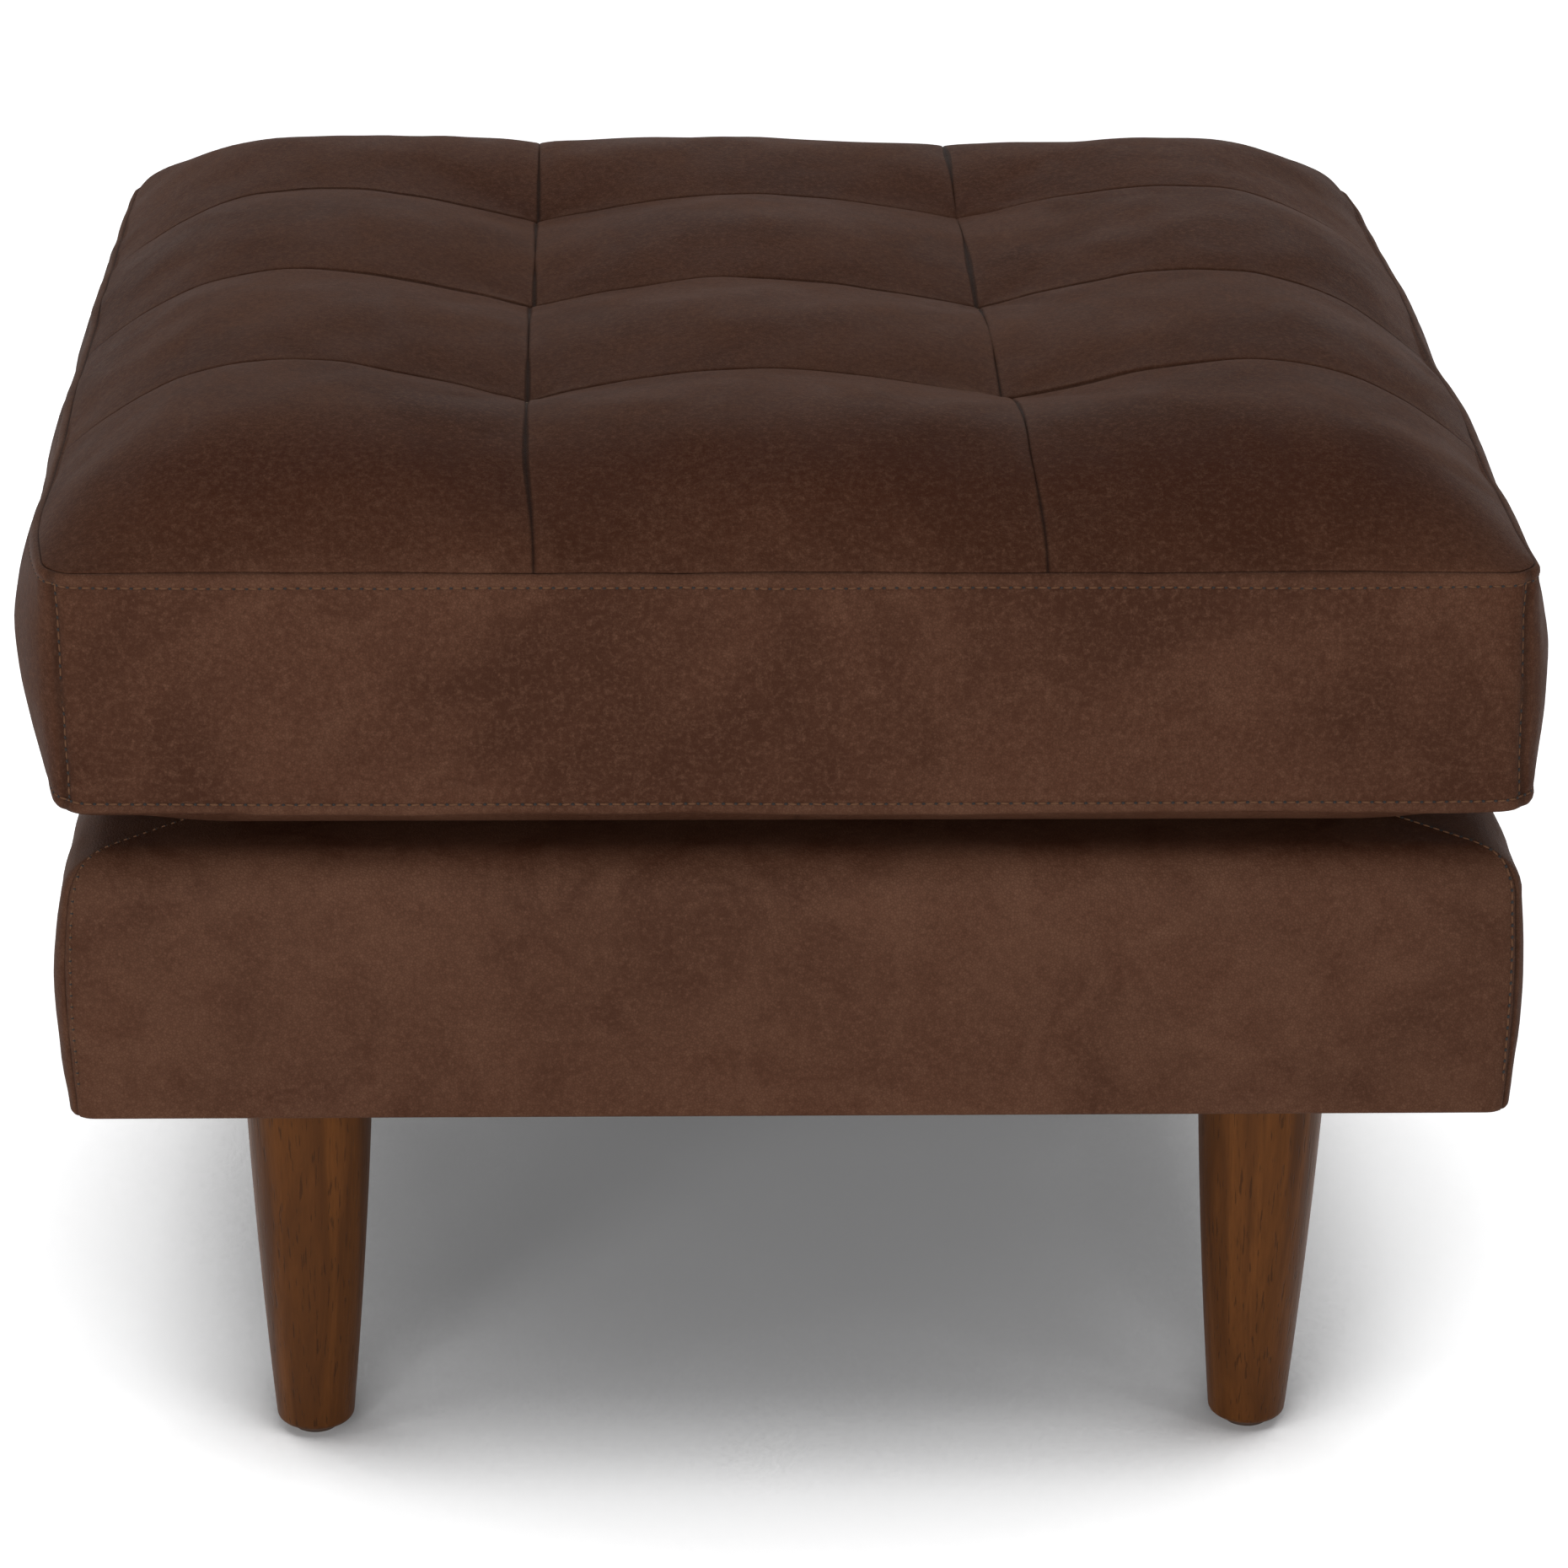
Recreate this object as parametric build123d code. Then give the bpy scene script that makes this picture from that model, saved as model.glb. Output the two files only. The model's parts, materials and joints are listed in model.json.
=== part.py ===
from build123d import *
import os
from math import atan2, cos, sin, sqrt

# A square leather ottoman: a loose tufted box cushion on an upholstered frame with four round legs.
# Millimetres. X runs left to right, Y from the front to the back, Z up from the floor at 0.

# Seat cushion, over its sewn edges
cushion_width = 600.0
cushion_depth = 590.0
boxing_height = 104.0
boxing_side_bulge = 16.0
boxing_front_bulge = 6.0
boxing_side_bow = 20.0
underside_drop = 22.0
underside_margin = 70.0

# Tufted top, heights over the edge seam
pillow_rise = 45.0
ridge_rise = 38.0
channel_rise = 32.0
outer_channel_rise = 38.0
tuft_rise = 24.0
shoulder_width = 86.0
shoulder_power = 0.65
row_pitch = 140.0
middle_column_half = 102.0
slip_row_1 = 2.5
slip_row_2 = -2.0
slip_row_3 = -4.5
slip_row_4 = -4.0

# Cushion filling and its tufting
foam_drop = 4.0
foam_lift = 4.0
tie_radius = 1.2
anchor_radius = 15.0
anchor_thickness = 3.0

# Zip along the middle of the back boxing
chain_width = 6.0
chain_thickness = 2.2
tape_width = 14.0
tape_thickness = 0.8
zip_end_margin = 14.0
slider_length = 13.0
slider_wall = 1.2
slider_gap = 0.5
bridge_height = 1.6
bridge_width = 3.0
bridge_length = 8.0

# Upholstered base
hem_height = 183.0
base_height = 116.0
base_inset = 3.0
base_edge_radius = 20.0
base_side_bulge = 7.0
base_front_bulge = 3.0
base_side_bow = 9.0
deck_border = 80.0
hem_return = 25.0
cloth_thickness = 0.8
dust_cover_inset = 12.0

# Materials by thickness, and the clearances between pieces
leather = 1.4
wadding_thickness = 5.0
soft_gap = 0.3
bore_clearance = 0.05

# Wooden frame
rail_thickness = 22.0
rail_height = 88.0
rail_round = 6.0
stretcher_thickness = 22.0
stretcher_height = 60.0
stretcher_scoop = 15.0
plate_size = 150.0
plate_chamfer = 60.0
plate_thickness = 18.0

# Webbing that carries the deck
webbing_width = 50.0
webbing_thickness = 1.5
webbing_pitch = 105.0
webbing_count = 4
webbing_end_margin = 8.0
webbing_ramp_margin = 4.0

# Legs and what fixes them
leg_inset_side = 91.0
leg_inset_front = 77.0
leg_top_radius = 28.2
leg_bottom_radius = 17.0
leg_swell = 1.0
leg_foot_chamfer = 2.5
bolt_radius = 4.0
bolt_in_leg = 32.0
bolt_over_nut = 4.0
nut_barrel_radius = 5.0
nut_barrel_length = 12.0
nut_flange_radius = 11.0
nut_flange_thickness = 1.5
glide_radius = 10.0
glide_thickness = 4.0
nail_radius = 1.3
nail_in_glide = 2.5
nail_in_leg = 13.0
nail_tip = 3.0
nail_tip_radius = 0.4

# Cutting blocks run past the work by this much, and mitred corners are cut by wedges this wide
overrun = 60.0
mitre_width = 120.0

# Thin round pieces that repeat out of sight have this many flats
flat_count = 8

# Levels that follow from the sizes above
base_top = hem_height + base_height
underside = base_top + soft_gap
seam_low = underside + underside_drop
seam_top = seam_low + boxing_height
half_width = cushion_width / 2
half_depth = cushion_depth / 2
base_half_width = half_width - base_inset
base_half_depth = half_depth - base_inset
lining = leather + soft_gap
foam_low = seam_low + foam_lift
foam_top = seam_top - foam_drop
rail_low = hem_height + leather
rail_top = rail_low + rail_height
rail_half_x = base_half_width - lining - wadding_thickness
rail_half_y = base_half_depth - lining - wadding_thickness
well_half_x = rail_half_x - rail_thickness
well_half_y = rail_half_y - rail_thickness
deck_foam_low = rail_top + 2 * webbing_thickness + 2 * soft_gap
leg_top = hem_height - cloth_thickness
leg_x = base_half_width - leg_inset_side
leg_y = base_half_depth - leg_inset_front
plate_top = hem_height + plate_thickness
row_lines = [-half_depth, -row_pitch, 0.0, row_pitch, half_depth]
slips = [slip_row_1, slip_row_2, slip_row_3, slip_row_4]
row_count = len(slips)
column_count = 3
seam_shares = [0.0, 0.5, 1.0]
edge_shares = [0.0, 0.06, 0.2, 0.5, 1.0]
corners = {
    "front_left": (-1, -1),
    "front_right": (1, -1),
    "back_left": (-1, 1),
    "back_right": (1, 1),
}

nodes = {}


def across(y):
    """Places (sideways, height) points in the upright plane at y."""
    return lambda u, z: Vector(u, y, z)


def along(x):
    """Places (depth, height) points in the upright plane at x."""
    return lambda u, z: Vector(x, u, z)


def level(z):
    """Places (sideways, depth) points in the level plane at z."""
    return lambda u, v: Vector(u, v, z)


def closed_outline(place, start, legs):
    """A closed wire from start; a leg is (end,) for a line or (middle, end) for an arc."""
    here = place(*start)
    edges = []
    for leg in legs:
        points = [place(*point) for point in leg]
        if len(points) == 1:
            edges.append(Edge.make_line(here, points[0]))
        else:
            edges.append(Edge.make_three_point_arc(here, points[0], points[1]))
        here = points[-1]
    return Wire(edges)


def block(low, high):
    """An upright box between two opposite corners."""
    size = Vector(*high) - Vector(*low)
    return Solid.make_box(size.X, size.Y, size.Z, Plane(origin=low))


def slab(z_low, z_high):
    """A level slice of space, wider than the whole ottoman."""
    x = half_width + overrun
    y = half_depth + overrun
    return block((-x, -y, z_low), (x, y, z_high))


def rod(radius, x, y, z_low, z_high):
    """An upright round rod."""
    return Solid.make_cylinder(radius, z_high - z_low, Plane(origin=(x, y, z_low)))


def flat_sided(plane, steps):
    """A thin piece with a few flats all round, through (radius, height) steps over the plane."""
    rings = [plane.offset(height) * RegularPolygon(radius, flat_count) for radius, height in steps]
    return Solid.make_loft([ring.wire() for ring in rings], True)


def flat_sided_rod(radius, x, y, z_low, z_high):
    """An upright thin rod with a few flats."""
    return flat_sided(Plane(origin=(x, y, 0)), [(radius, z_low), (radius, z_high)])


def one_solid(shape):
    """The single solid of a cut or a join."""
    return shape.solids()[0]


def run_between(place_at, reach, outline_at):
    """The straight form of one outline, run from -reach to reach."""
    face = Face(outline_at(place_at(-reach)))
    step = place_at(reach)(0, 0) - place_at(-reach)(0, 0)
    return Solid.extrude(face, step)


def plan_outline(place, half_x, reach_y, side_bow):
    """A plan whose left and right sides bow out at mid depth, which draws their bulge in at the corners."""
    return closed_outline(
        place,
        (-half_x, -reach_y),
        [
            ((half_x, -reach_y),),
            ((half_x + side_bow, 0), (half_x, reach_y)),
            ((-half_x, reach_y),),
            ((-half_x - side_bow, 0), (-half_x, -reach_y)),
        ],
    )


def mitre_wedge(side, half_x, half_y):
    """The space of one side of a box, cut at 45 degrees through its corners."""
    outer = overrun
    inner = mitre_width
    if side in ("front", "back"):
        reach, span = half_y, half_x
    else:
        reach, span = half_x, half_y
    points = [
        (-span - outer, reach + outer),
        (span + outer, reach + outer),
        (span - inner, reach - inner),
        (-span + inner, reach - inner),
    ]
    if side == "front":
        points = [(u, -v) for u, v in points]
    if side == "right":
        points = [(v, u) for u, v in points]
    if side == "left":
        points = [(-v, u) for u, v in points]
    face = Face(Wire.make_polygon([(x, y, 0) for x, y in points], close=True))
    return Solid.extrude(face, Vector(0, 0, seam_top + overrun))


def cushion_outline(place, half, inset, bulge):
    """The cushion's upright outline below its top seam: flat foot, curved underside, bulged boxing."""
    half = half - inset
    low = underside + inset
    drop = seam_low - low
    foot = half - underside_margin
    radius = (underside_margin**2 + drop**2) / (2 * drop)
    turn = atan2(underside_margin, radius - drop) / 2
    under = (foot + radius * sin(turn), low + radius - radius * cos(turn))
    waist = (half + bulge, (seam_low + seam_top) / 2)
    return closed_outline(
        place,
        (-foot, low),
        [
            ((foot, low),),
            (under, (half, seam_low)),
            (waist, (half, seam_top)),
            ((-half, seam_top),),
            ((-waist[0], waist[1]), (-half, seam_low)),
            ((-under[0], under[1]), (-foot, low)),
        ],
    )


def cushion_form(inset):
    """The cushion below its top seam, inset from its outside; its sides bulge most at mid depth."""
    reach_x = half_width + overrun
    reach_y = half_depth + overrun
    sideways = run_between(
        across, reach_y, lambda place: cushion_outline(place, half_width, inset, boxing_side_bulge)
    )
    lengthways = run_between(
        along, reach_x, lambda place: cushion_outline(place, half_depth, inset, boxing_front_bulge)
    )
    plan = run_between(
        level,
        seam_top + overrun,
        lambda place: plan_outline(place, half_width - inset, reach_y, boxing_side_bow),
    )
    return one_solid(sideways & lengthways & plan)


def base_outline(place, half, inset, bulge):
    """The base's upright outline: level hem, bulged side and a rounded top edge."""
    half = half - inset
    low = hem_height + inset
    high = base_top - inset
    radius = base_edge_radius - inset
    shoulder = high - radius
    waist = (half + bulge, (low + shoulder) / 2)
    nip = radius * (1 - sqrt(1 / 2))
    return closed_outline(
        place,
        (-half, low),
        [
            ((half, low),),
            (waist, (half, shoulder)),
            ((half - nip, high - nip), (half - radius, high)),
            ((-half + radius, high),),
            ((-half + nip, high - nip), (-half, shoulder)),
            ((-waist[0], waist[1]), (-half, low)),
        ],
    )


def base_form(inset):
    """The upholstered base as one block, inset from its outside."""
    reach_x = base_half_width + overrun
    reach_y = base_half_depth + overrun
    sideways = run_between(
        across, reach_y, lambda place: base_outline(place, base_half_width, inset, base_side_bulge)
    )
    lengthways = run_between(
        along, reach_x, lambda place: base_outline(place, base_half_depth, inset, base_front_bulge)
    )
    plan = run_between(
        level,
        base_top + overrun,
        lambda place: plan_outline(place, base_half_width - inset, reach_y, base_side_bow),
    )
    return one_solid(sideways & lengthways & plan)


def column_lines(row):
    """Where the four upright seam lines of a row stand; the right one slips a little row by row."""
    return [-half_width, -middle_column_half, middle_column_half + slips[row], half_width]


def climb(share, at_edge):
    """How much of its height a pillow has reached at a share of the way from its border to its crest."""
    return (1 - (1 - share) ** 2) ** (shoulder_power if at_edge else 1)


def pillow_steps(low, high, low_at_edge, high_at_edge):
    """Places across a pillow, each with its share of the height and the border, 0 or 1, that it is nearer."""
    crest = (low + high) / 2
    if low_at_edge:
        crest = low + shoulder_width
    if high_at_edge:
        crest = high - shoulder_width
    steps = []
    for share in edge_shares if low_at_edge else seam_shares:
        steps.append((low + (crest - low) * share, climb(share, low_at_edge), 0))
    for share in reversed(edge_shares[:-1] if high_at_edge else seam_shares[:-1]):
        steps.append((high - (high - crest) * share, climb(share, high_at_edge), 1))
    return steps


def row_stations(row):
    """Depth, crest height and channel height at the steps from the front to the back of a row."""
    first, last = row == 0, row == row_count - 1
    channel = outer_channel_rise if first or last else channel_rise
    crest_borders = (0.0 if first else ridge_rise, 0.0 if last else ridge_rise)
    channel_borders = (0.0 if first else tuft_rise, 0.0 if last else tuft_rise)
    stations = []
    for y, share, border in pillow_steps(row_lines[row], row_lines[row + 1], first, last):
        crest_here = crest_borders[border] + (pillow_rise - crest_borders[border]) * share
        channel_here = channel_borders[border] + (channel - channel_borders[border]) * share
        stations.append((y, crest_here, channel_here))
    return stations


def pillow_line(row, column, y, crest, channel, drop):
    """Points from left to right over one pillow, dropped below the outside of the leather."""
    left, right = column_lines(row)[column : column + 2]
    first, last = column == 0, column == column_count - 1
    borders = (0.0 if first else channel, 0.0 if last else channel)
    points = []
    for x, share, border in pillow_steps(left, right, first, last):
        rise = borders[border] + (crest - borders[border]) * share
        points.append(Vector(x, y, seam_top - drop + rise))
    return points


def leather_panel(row, column):
    """One sewn panel of the tufted top, a crowned sheet between its four seams."""
    sections = []
    for y, crest, channel in row_stations(row):
        outside = pillow_line(row, column, y, crest, channel, 0.0)
        inside = [point - Vector(0, 0, leather) for point in reversed(outside)]
        sections.append(Wire.make_polygon(outside + inside, close=True))
    return Solid.make_loft(sections, True)


def fibre_pillow(row, column):
    """The soft filling under one panel, flat below where it lies on the foam."""
    sections = []
    for y, crest, channel in row_stations(row):
        crown = pillow_line(row, column, y, crest, channel, lining)
        foot = [Vector(crown[end].X, y, foam_top) for end in (-1, 0)]
        sections.append(Wire.make_polygon(crown + foot, close=True))
    return Solid.make_loft(sections, True)


def tuft_points():
    """Where the depth seams and row seams cross, and the twine pulls the top down."""
    points = []
    for row in range(row_count - 1):
        right_slip = (slips[row] + slips[row + 1]) / 2
        for x in (-middle_column_half, middle_column_half + right_slip):
            points.append((x, row_lines[row + 1]))
    return points


def tuft_rods(radius, z_low, z_high):
    """Upright thin rods at the tuft points."""
    return [flat_sided_rod(radius, x, y, z_low, z_high) for x, y in tuft_points()]


def make_cushion_top():
    """Twelve leather panels, sewn into rows of three that are numbered from the front."""
    for row in range(row_count):
        panels = [leather_panel(row, column) for column in range(column_count)]
        nodes[f"top_panels_row{row + 1}"] = Compound(panels)


def make_cushion_case():
    """Boxing strips and the two halves of the underside, cut from one shell."""
    shell = cushion_form(0.0) - cushion_form(leather)
    boxing = shell & slab(seam_low, seam_top - leather)
    under = shell & slab(underside - overrun, seam_low)
    zip_middle = (seam_low + seam_top) / 2
    slot = slab(zip_middle - slot_half, zip_middle + slot_half)
    for side in ("front", "left", "right"):
        nodes[f"boxing_{side}"] = one_solid(boxing & mitre_wedge(side, half_width, half_depth))
    back = boxing & mitre_wedge("back", half_width, half_depth)
    lower, upper = sorted((back - slot).solids(), key=lambda strip: strip.center().Z)
    nodes["boxing_back_lower"] = lower
    nodes["boxing_back_upper"] = upper
    reach_x = half_width + boxing_side_bulge + overrun
    reach_y = half_depth + boxing_front_bulge + overrun
    left = block((-reach_x, -reach_y, 0), (0, reach_y, seam_top))
    right = block((0, -reach_y, 0), (reach_x, reach_y, seam_top))
    nodes["underside_left"] = one_solid(under & left)
    nodes["underside_right"] = one_solid(under & right)


def make_cushion_filling():
    """Foam core between two fibre layers, with the twine and its anchors."""
    hole = tie_radius + soft_gap
    tie_top = seam_top + tuft_rise - lining
    pillows = [fibre_pillow(r, c) for r in range(row_count) for c in range(column_count)]
    within_edges = block(
        (-half_width + lining, -half_depth + lining, foam_top),
        (half_width - lining, half_depth - lining, seam_top + overrun),
    )
    top_fibre = one_solid(pillows[0].fuse(*pillows[1:]) & within_edges)
    nodes["fibre_top"] = one_solid(top_fibre.cut(*tuft_rods(hole, foam_low, seam_top + overrun)))

    inside = cushion_form(lining)
    chain_middle = (seam_low + seam_top) / 2
    relief_half = max(slot_half, chain_width / 2 + tape_width + soft_gap)
    relief = block(
        (-half_width - overrun, relief_face, chain_middle - relief_half),
        (half_width + overrun, half_depth + overrun, chain_middle + relief_half),
    )
    foam = inside & slab(foam_low, foam_top)
    nodes["foam_core"] = one_solid(foam.cut(relief, *tuft_rods(hole, foam_low - overrun, seam_top)))

    pocket_low = foam_low - anchor_thickness - soft_gap
    pockets = tuft_rods(anchor_radius + soft_gap, pocket_low, foam_low + overrun)
    under_fibre = inside & slab(underside, foam_low)
    nodes["fibre_under"] = one_solid(under_fibre.cut(*pockets))
    nodes["tuft_anchors"] = Compound(tuft_rods(anchor_radius, foam_low - anchor_thickness, foam_low))
    nodes["tuft_ties"] = Compound(tuft_rods(tie_radius, foam_low, tie_top))


# The zip lies flat behind the bulged back boxing, clear of it by the soft gap
slot_half = chain_width / 2 + soft_gap + slider_wall + slider_gap
bulge_radius = ((boxing_height / 2) ** 2 + boxing_front_bulge**2) / (2 * boxing_front_bulge)
tape_edge = chain_width / 2 + tape_width
tape_fall = bulge_radius - sqrt(bulge_radius**2 - tape_edge**2)
tape_face = half_depth + boxing_front_bulge - leather - tape_fall - soft_gap
chain_face = tape_face + (chain_thickness - tape_thickness) / 2
chain_back = chain_face - chain_thickness
slider_front = chain_face + soft_gap + slider_wall
slider_back = chain_back - soft_gap - slider_wall
relief_face = slider_back - slider_gap
chain_half_length = half_width - zip_end_margin


def make_zip():
    """Two tapes, the closed chain between them and the slider's two plates that run along it."""
    middle = (seam_low + seam_top) / 2
    half_chain = chain_width / 2
    tapes = []
    for low in (middle - tape_edge, middle + half_chain):
        corner_low = (-chain_half_length, tape_face - tape_thickness, low)
        tapes.append(block(corner_low, (chain_half_length, tape_face, low + tape_width)))
    nodes["zip_tapes"] = Compound(tapes)
    nodes["zip_chain"] = block(
        (-chain_half_length, chain_back, middle - half_chain),
        (chain_half_length, chain_face, middle + half_chain),
    )
    slot = half_chain + soft_gap
    x_high = chain_half_length
    x_low = x_high - slider_length
    body = block(
        (x_low, slider_back, middle - slot - slider_wall),
        (x_high, slider_front, middle + slot + slider_wall),
    )
    chain_way = block(
        (x_low - overrun, chain_back - soft_gap, middle - slot),
        (x_high + overrun, chain_face + soft_gap, middle + slot),
    )
    tape_way = block(
        (x_low - overrun, tape_face - tape_thickness - soft_gap, middle - tape_edge),
        (x_high + overrun, tape_face + soft_gap, middle + tape_edge),
    )
    x_middle = (x_low + x_high) / 2
    bridge = block(
        (x_middle - bridge_length / 2, slider_front, middle - bridge_width / 2),
        (x_middle + bridge_length / 2, slider_front + bridge_height, middle + bridge_width / 2),
    )
    plates = body.cut(chain_way, tape_way).solids()
    plates.sort(key=lambda plate: plate.center().Y)
    nodes["zip_slider"] = Compound([*plates[:-1], one_solid(plates[-1].fuse(bridge))])


def make_base_covers():
    """Four leather panels, each wrapped over the top edge and under the hem."""
    shell = base_form(0.0) - base_form(leather)
    deck_x = base_half_width - deck_border
    deck_y = base_half_depth - deck_border
    deck_opening = block((-deck_x, -deck_y, rail_top), (deck_x, deck_y, base_top + overrun))
    hem_x = base_half_width - hem_return
    hem_y = base_half_depth - hem_return
    hem_opening = block((-hem_x, -hem_y, 0), (hem_x, hem_y, rail_top))
    covers = shell.cut(deck_opening, hem_opening)
    for side in ("front", "back", "left", "right"):
        wedge = mitre_wedge(side, base_half_width, base_half_depth)
        nodes[f"base_cover_{side}"] = one_solid(covers & wedge)
    cloth_low = base_top - leather
    nodes["deck_cloth"] = block(
        (-deck_x, -deck_y, cloth_low),
        (deck_x, deck_y, cloth_low + cloth_thickness),
    )


def make_base_padding():
    """Wadding round the rails and the foam pad of the deck."""
    inside = base_form(lining)
    rails = block(
        (-rail_half_x, -rail_half_y, 0),
        (rail_half_x, rail_half_y, base_top),
    )
    nodes["base_wadding"] = one_solid((inside & slab(rail_low, deck_foam_low - soft_gap)) - rails)
    nodes["deck_foam"] = one_solid(inside & slab(deck_foam_low, base_top))


def make_rails():
    """Four hardwood rails with their top outer edge eased."""
    for side, sign in (("front", -1), ("back", 1)):
        near, far = sorted((sign * rail_half_y, sign * well_half_y))
        rail = block((-rail_half_x, near, rail_low), (rail_half_x, far, rail_top))
        edge = rail.edges().filter_by(Axis.X).sort_by(lambda e: sign * e.center().Y + e.center().Z)[-1]
        nodes[f"rail_{side}"] = one_solid(rail.fillet(rail_round, [edge]))
    for side, sign in (("left", -1), ("right", 1)):
        near, far = sorted((sign * rail_half_x, sign * well_half_x))
        rail = block((near, -well_half_y, rail_low), (far, well_half_y, rail_top))
        edge = rail.edges().filter_by(Axis.Y).sort_by(lambda e: sign * e.center().X + e.center().Z)[-1]
        nodes[f"rail_{side}"] = one_solid(rail.fillet(rail_round, [edge]))


def make_stretcher():
    """A brace from the front rail to the back rail, scooped so that the webbing can sag."""
    high = rail_low + stretcher_height
    outline = closed_outline(
        along(-stretcher_thickness / 2),
        (-well_half_y, rail_low),
        [
            ((well_half_y, rail_low),),
            ((well_half_y, high),),
            ((0, high - stretcher_scoop), (-well_half_y, high)),
            ((-well_half_y, rail_low),),
        ],
    )
    nodes["stretcher"] = Solid.extrude(Face(outline), Vector(stretcher_thickness, 0, 0))


def make_corner_plates():
    """Plywood plates in the frame's corners, each bored for the leg's nut and bolt."""
    for corner, (side_x, side_y) in corners.items():
        outer_x, outer_y = side_x * well_half_x, side_y * well_half_y
        inner_x, inner_y = outer_x - side_x * plate_size, outer_y - side_y * plate_size
        points = [
            (outer_x, outer_y),
            (inner_x, outer_y),
            (inner_x, inner_y + side_y * plate_chamfer),
            (inner_x + side_x * plate_chamfer, inner_y),
            (outer_x, inner_y),
        ]
        face = Face(Wire.make_polygon([(x, y, hem_height) for x, y in points], close=True))
        plate = Solid.extrude(face, Vector(0, 0, plate_thickness))
        bore = flat_sided_rod(
            nut_barrel_radius + bore_clearance,
            side_x * leg_x,
            side_y * leg_y,
            hem_height - overrun,
            plate_top + overrun,
        )
        nodes[f"corner_plate_{corner}"] = one_solid(plate.cut(bore))


def webbing_strap(place_at, middle, half_length, first_is_over):
    """One strap that goes over and under the straps it crosses."""
    low = rail_top
    over = rail_top + webbing_thickness + soft_gap
    half_crossing = webbing_width / 2 + webbing_ramp_margin
    line = [(-half_length, low)]
    for index in range(webbing_count):
        crossing = (index - (webbing_count - 1) / 2) * webbing_pitch
        level = over if (index % 2 == 0) == first_is_over else low
        line.append((crossing - half_crossing, level))
        line.append((crossing + half_crossing, level))
    line.append((half_length, low))
    top = [(u, z + webbing_thickness) for u, z in reversed(line)]
    place = place_at(middle - webbing_width / 2)
    face = Face(Wire.make_polygon([place(u, z) for u, z in line + top], close=True))
    step = place_at(webbing_width)(0, 0) - place_at(0)(0, 0)
    return Solid.extrude(face, step)


def make_webbing():
    """Elastic straps woven both ways and fixed on top of the rails."""
    both_ways = (
        ("webbing_front_to_back", along, rail_half_y, True),
        ("webbing_side_to_side", across, rail_half_x, False),
    )
    for name, place_at, rail_half, first_is_over in both_ways:
        half_length = rail_half - webbing_end_margin
        straps = []
        for index in range(webbing_count):
            middle = (index - (webbing_count - 1) / 2) * webbing_pitch
            starts_over = (index % 2 == 0) == first_is_over
            straps.append(webbing_strap(place_at, middle, half_length, starts_over))
        nodes[name] = Compound(straps)


def make_dust_cover():
    """Thin black cloth under the frame, over the leather's turned-in edge."""
    x = base_half_width - dust_cover_inset
    y = base_half_depth - dust_cover_inset
    cloth = block((-x, -y, leg_top), (x, y, hem_height))
    holes = [
        flat_sided_rod(bolt_radius + soft_gap, side_x * leg_x, side_y * leg_y, 0, rail_low)
        for side_x, side_y in corners.values()
    ]
    nodes["dust_cover"] = one_solid(cloth.cut(*holes))


def leg_blank():
    """The tapered leg, slightly full at its middle and eased at its foot."""
    low = glide_thickness
    foot = low + leg_foot_chamfer
    waist = ((leg_top_radius + leg_bottom_radius) / 2 + leg_swell, (leg_top + foot) / 2)
    outline = closed_outline(
        across(0),
        (0, low),
        [
            ((leg_bottom_radius - leg_foot_chamfer, low),),
            ((leg_bottom_radius, foot),),
            (waist,),
            ((leg_top_radius, leg_top),),
            ((0, leg_top),),
            ((0, low),),
        ],
    )
    return Solid.revolve(Face(outline), 360, Axis.Z)


def nail(extra):
    """The pointed pin between a glide and its leg, or with extra its hole."""
    shoulder = glide_thickness + nail_in_leg - nail_tip
    steps = [
        (nail_radius + extra, glide_thickness - nail_in_glide - extra),
        (nail_radius + extra, shoulder),
        (nail_tip_radius + extra, shoulder + nail_tip),
    ]
    return flat_sided(Plane.XY, steps)


def make_legs():
    """Four legs with their glides, nails, hanger bolts and nuts."""
    bolt_low = leg_top - bolt_in_leg
    bolt_high = plate_top + nut_flange_thickness + bolt_over_nut
    bolt_bore = flat_sided_rod(
        bolt_radius + bore_clearance, 0, 0, bolt_low - bore_clearance, leg_top + overrun
    )
    leg = one_solid(leg_blank().cut(bolt_bore, nail(bore_clearance)))
    glide = one_solid(rod(glide_radius, 0, 0, 0, glide_thickness).cut(nail(bore_clearance)))
    pin = nail(0.0)
    bolt = flat_sided_rod(bolt_radius, 0, 0, bolt_low, bolt_high)
    barrel = flat_sided_rod(nut_barrel_radius, 0, 0, plate_top - nut_barrel_length, plate_top)
    flange = flat_sided_rod(nut_flange_radius, 0, 0, plate_top, plate_top + nut_flange_thickness)
    nut_bore = flat_sided_rod(bolt_radius + bore_clearance, 0, 0, hem_height, plate_top + overrun)
    nut = one_solid(barrel.fuse(flange).cut(nut_bore))
    legs, glides, pins, bolts, nuts = [], [], [], [], []
    for side_x, side_y in corners.values():
        place = Location((side_x * leg_x, side_y * leg_y, 0))
        legs.append(leg.moved(place))
        glides.append(glide.moved(place))
        pins.append(pin.moved(place))
        bolts.append(bolt.moved(place))
        nuts.append(nut.moved(place))
    nodes["legs"] = Compound(legs)
    nodes["glides"] = Compound(glides)
    nodes["glide_nails"] = Compound(pins)
    nodes["hanger_bolts"] = Compound(bolts)
    nodes["tee_nuts"] = Compound(nuts)


make_cushion_top()
make_cushion_case()
make_cushion_filling()
make_zip()
make_base_covers()
make_base_padding()
make_rails()
make_stretcher()
make_corner_plates()
make_webbing()
make_dust_cover()
make_legs()

os.makedirs("parts", exist_ok=True)
for name, shape in nodes.items():
    export_step(shape, f"parts/{name}.step")
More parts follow.
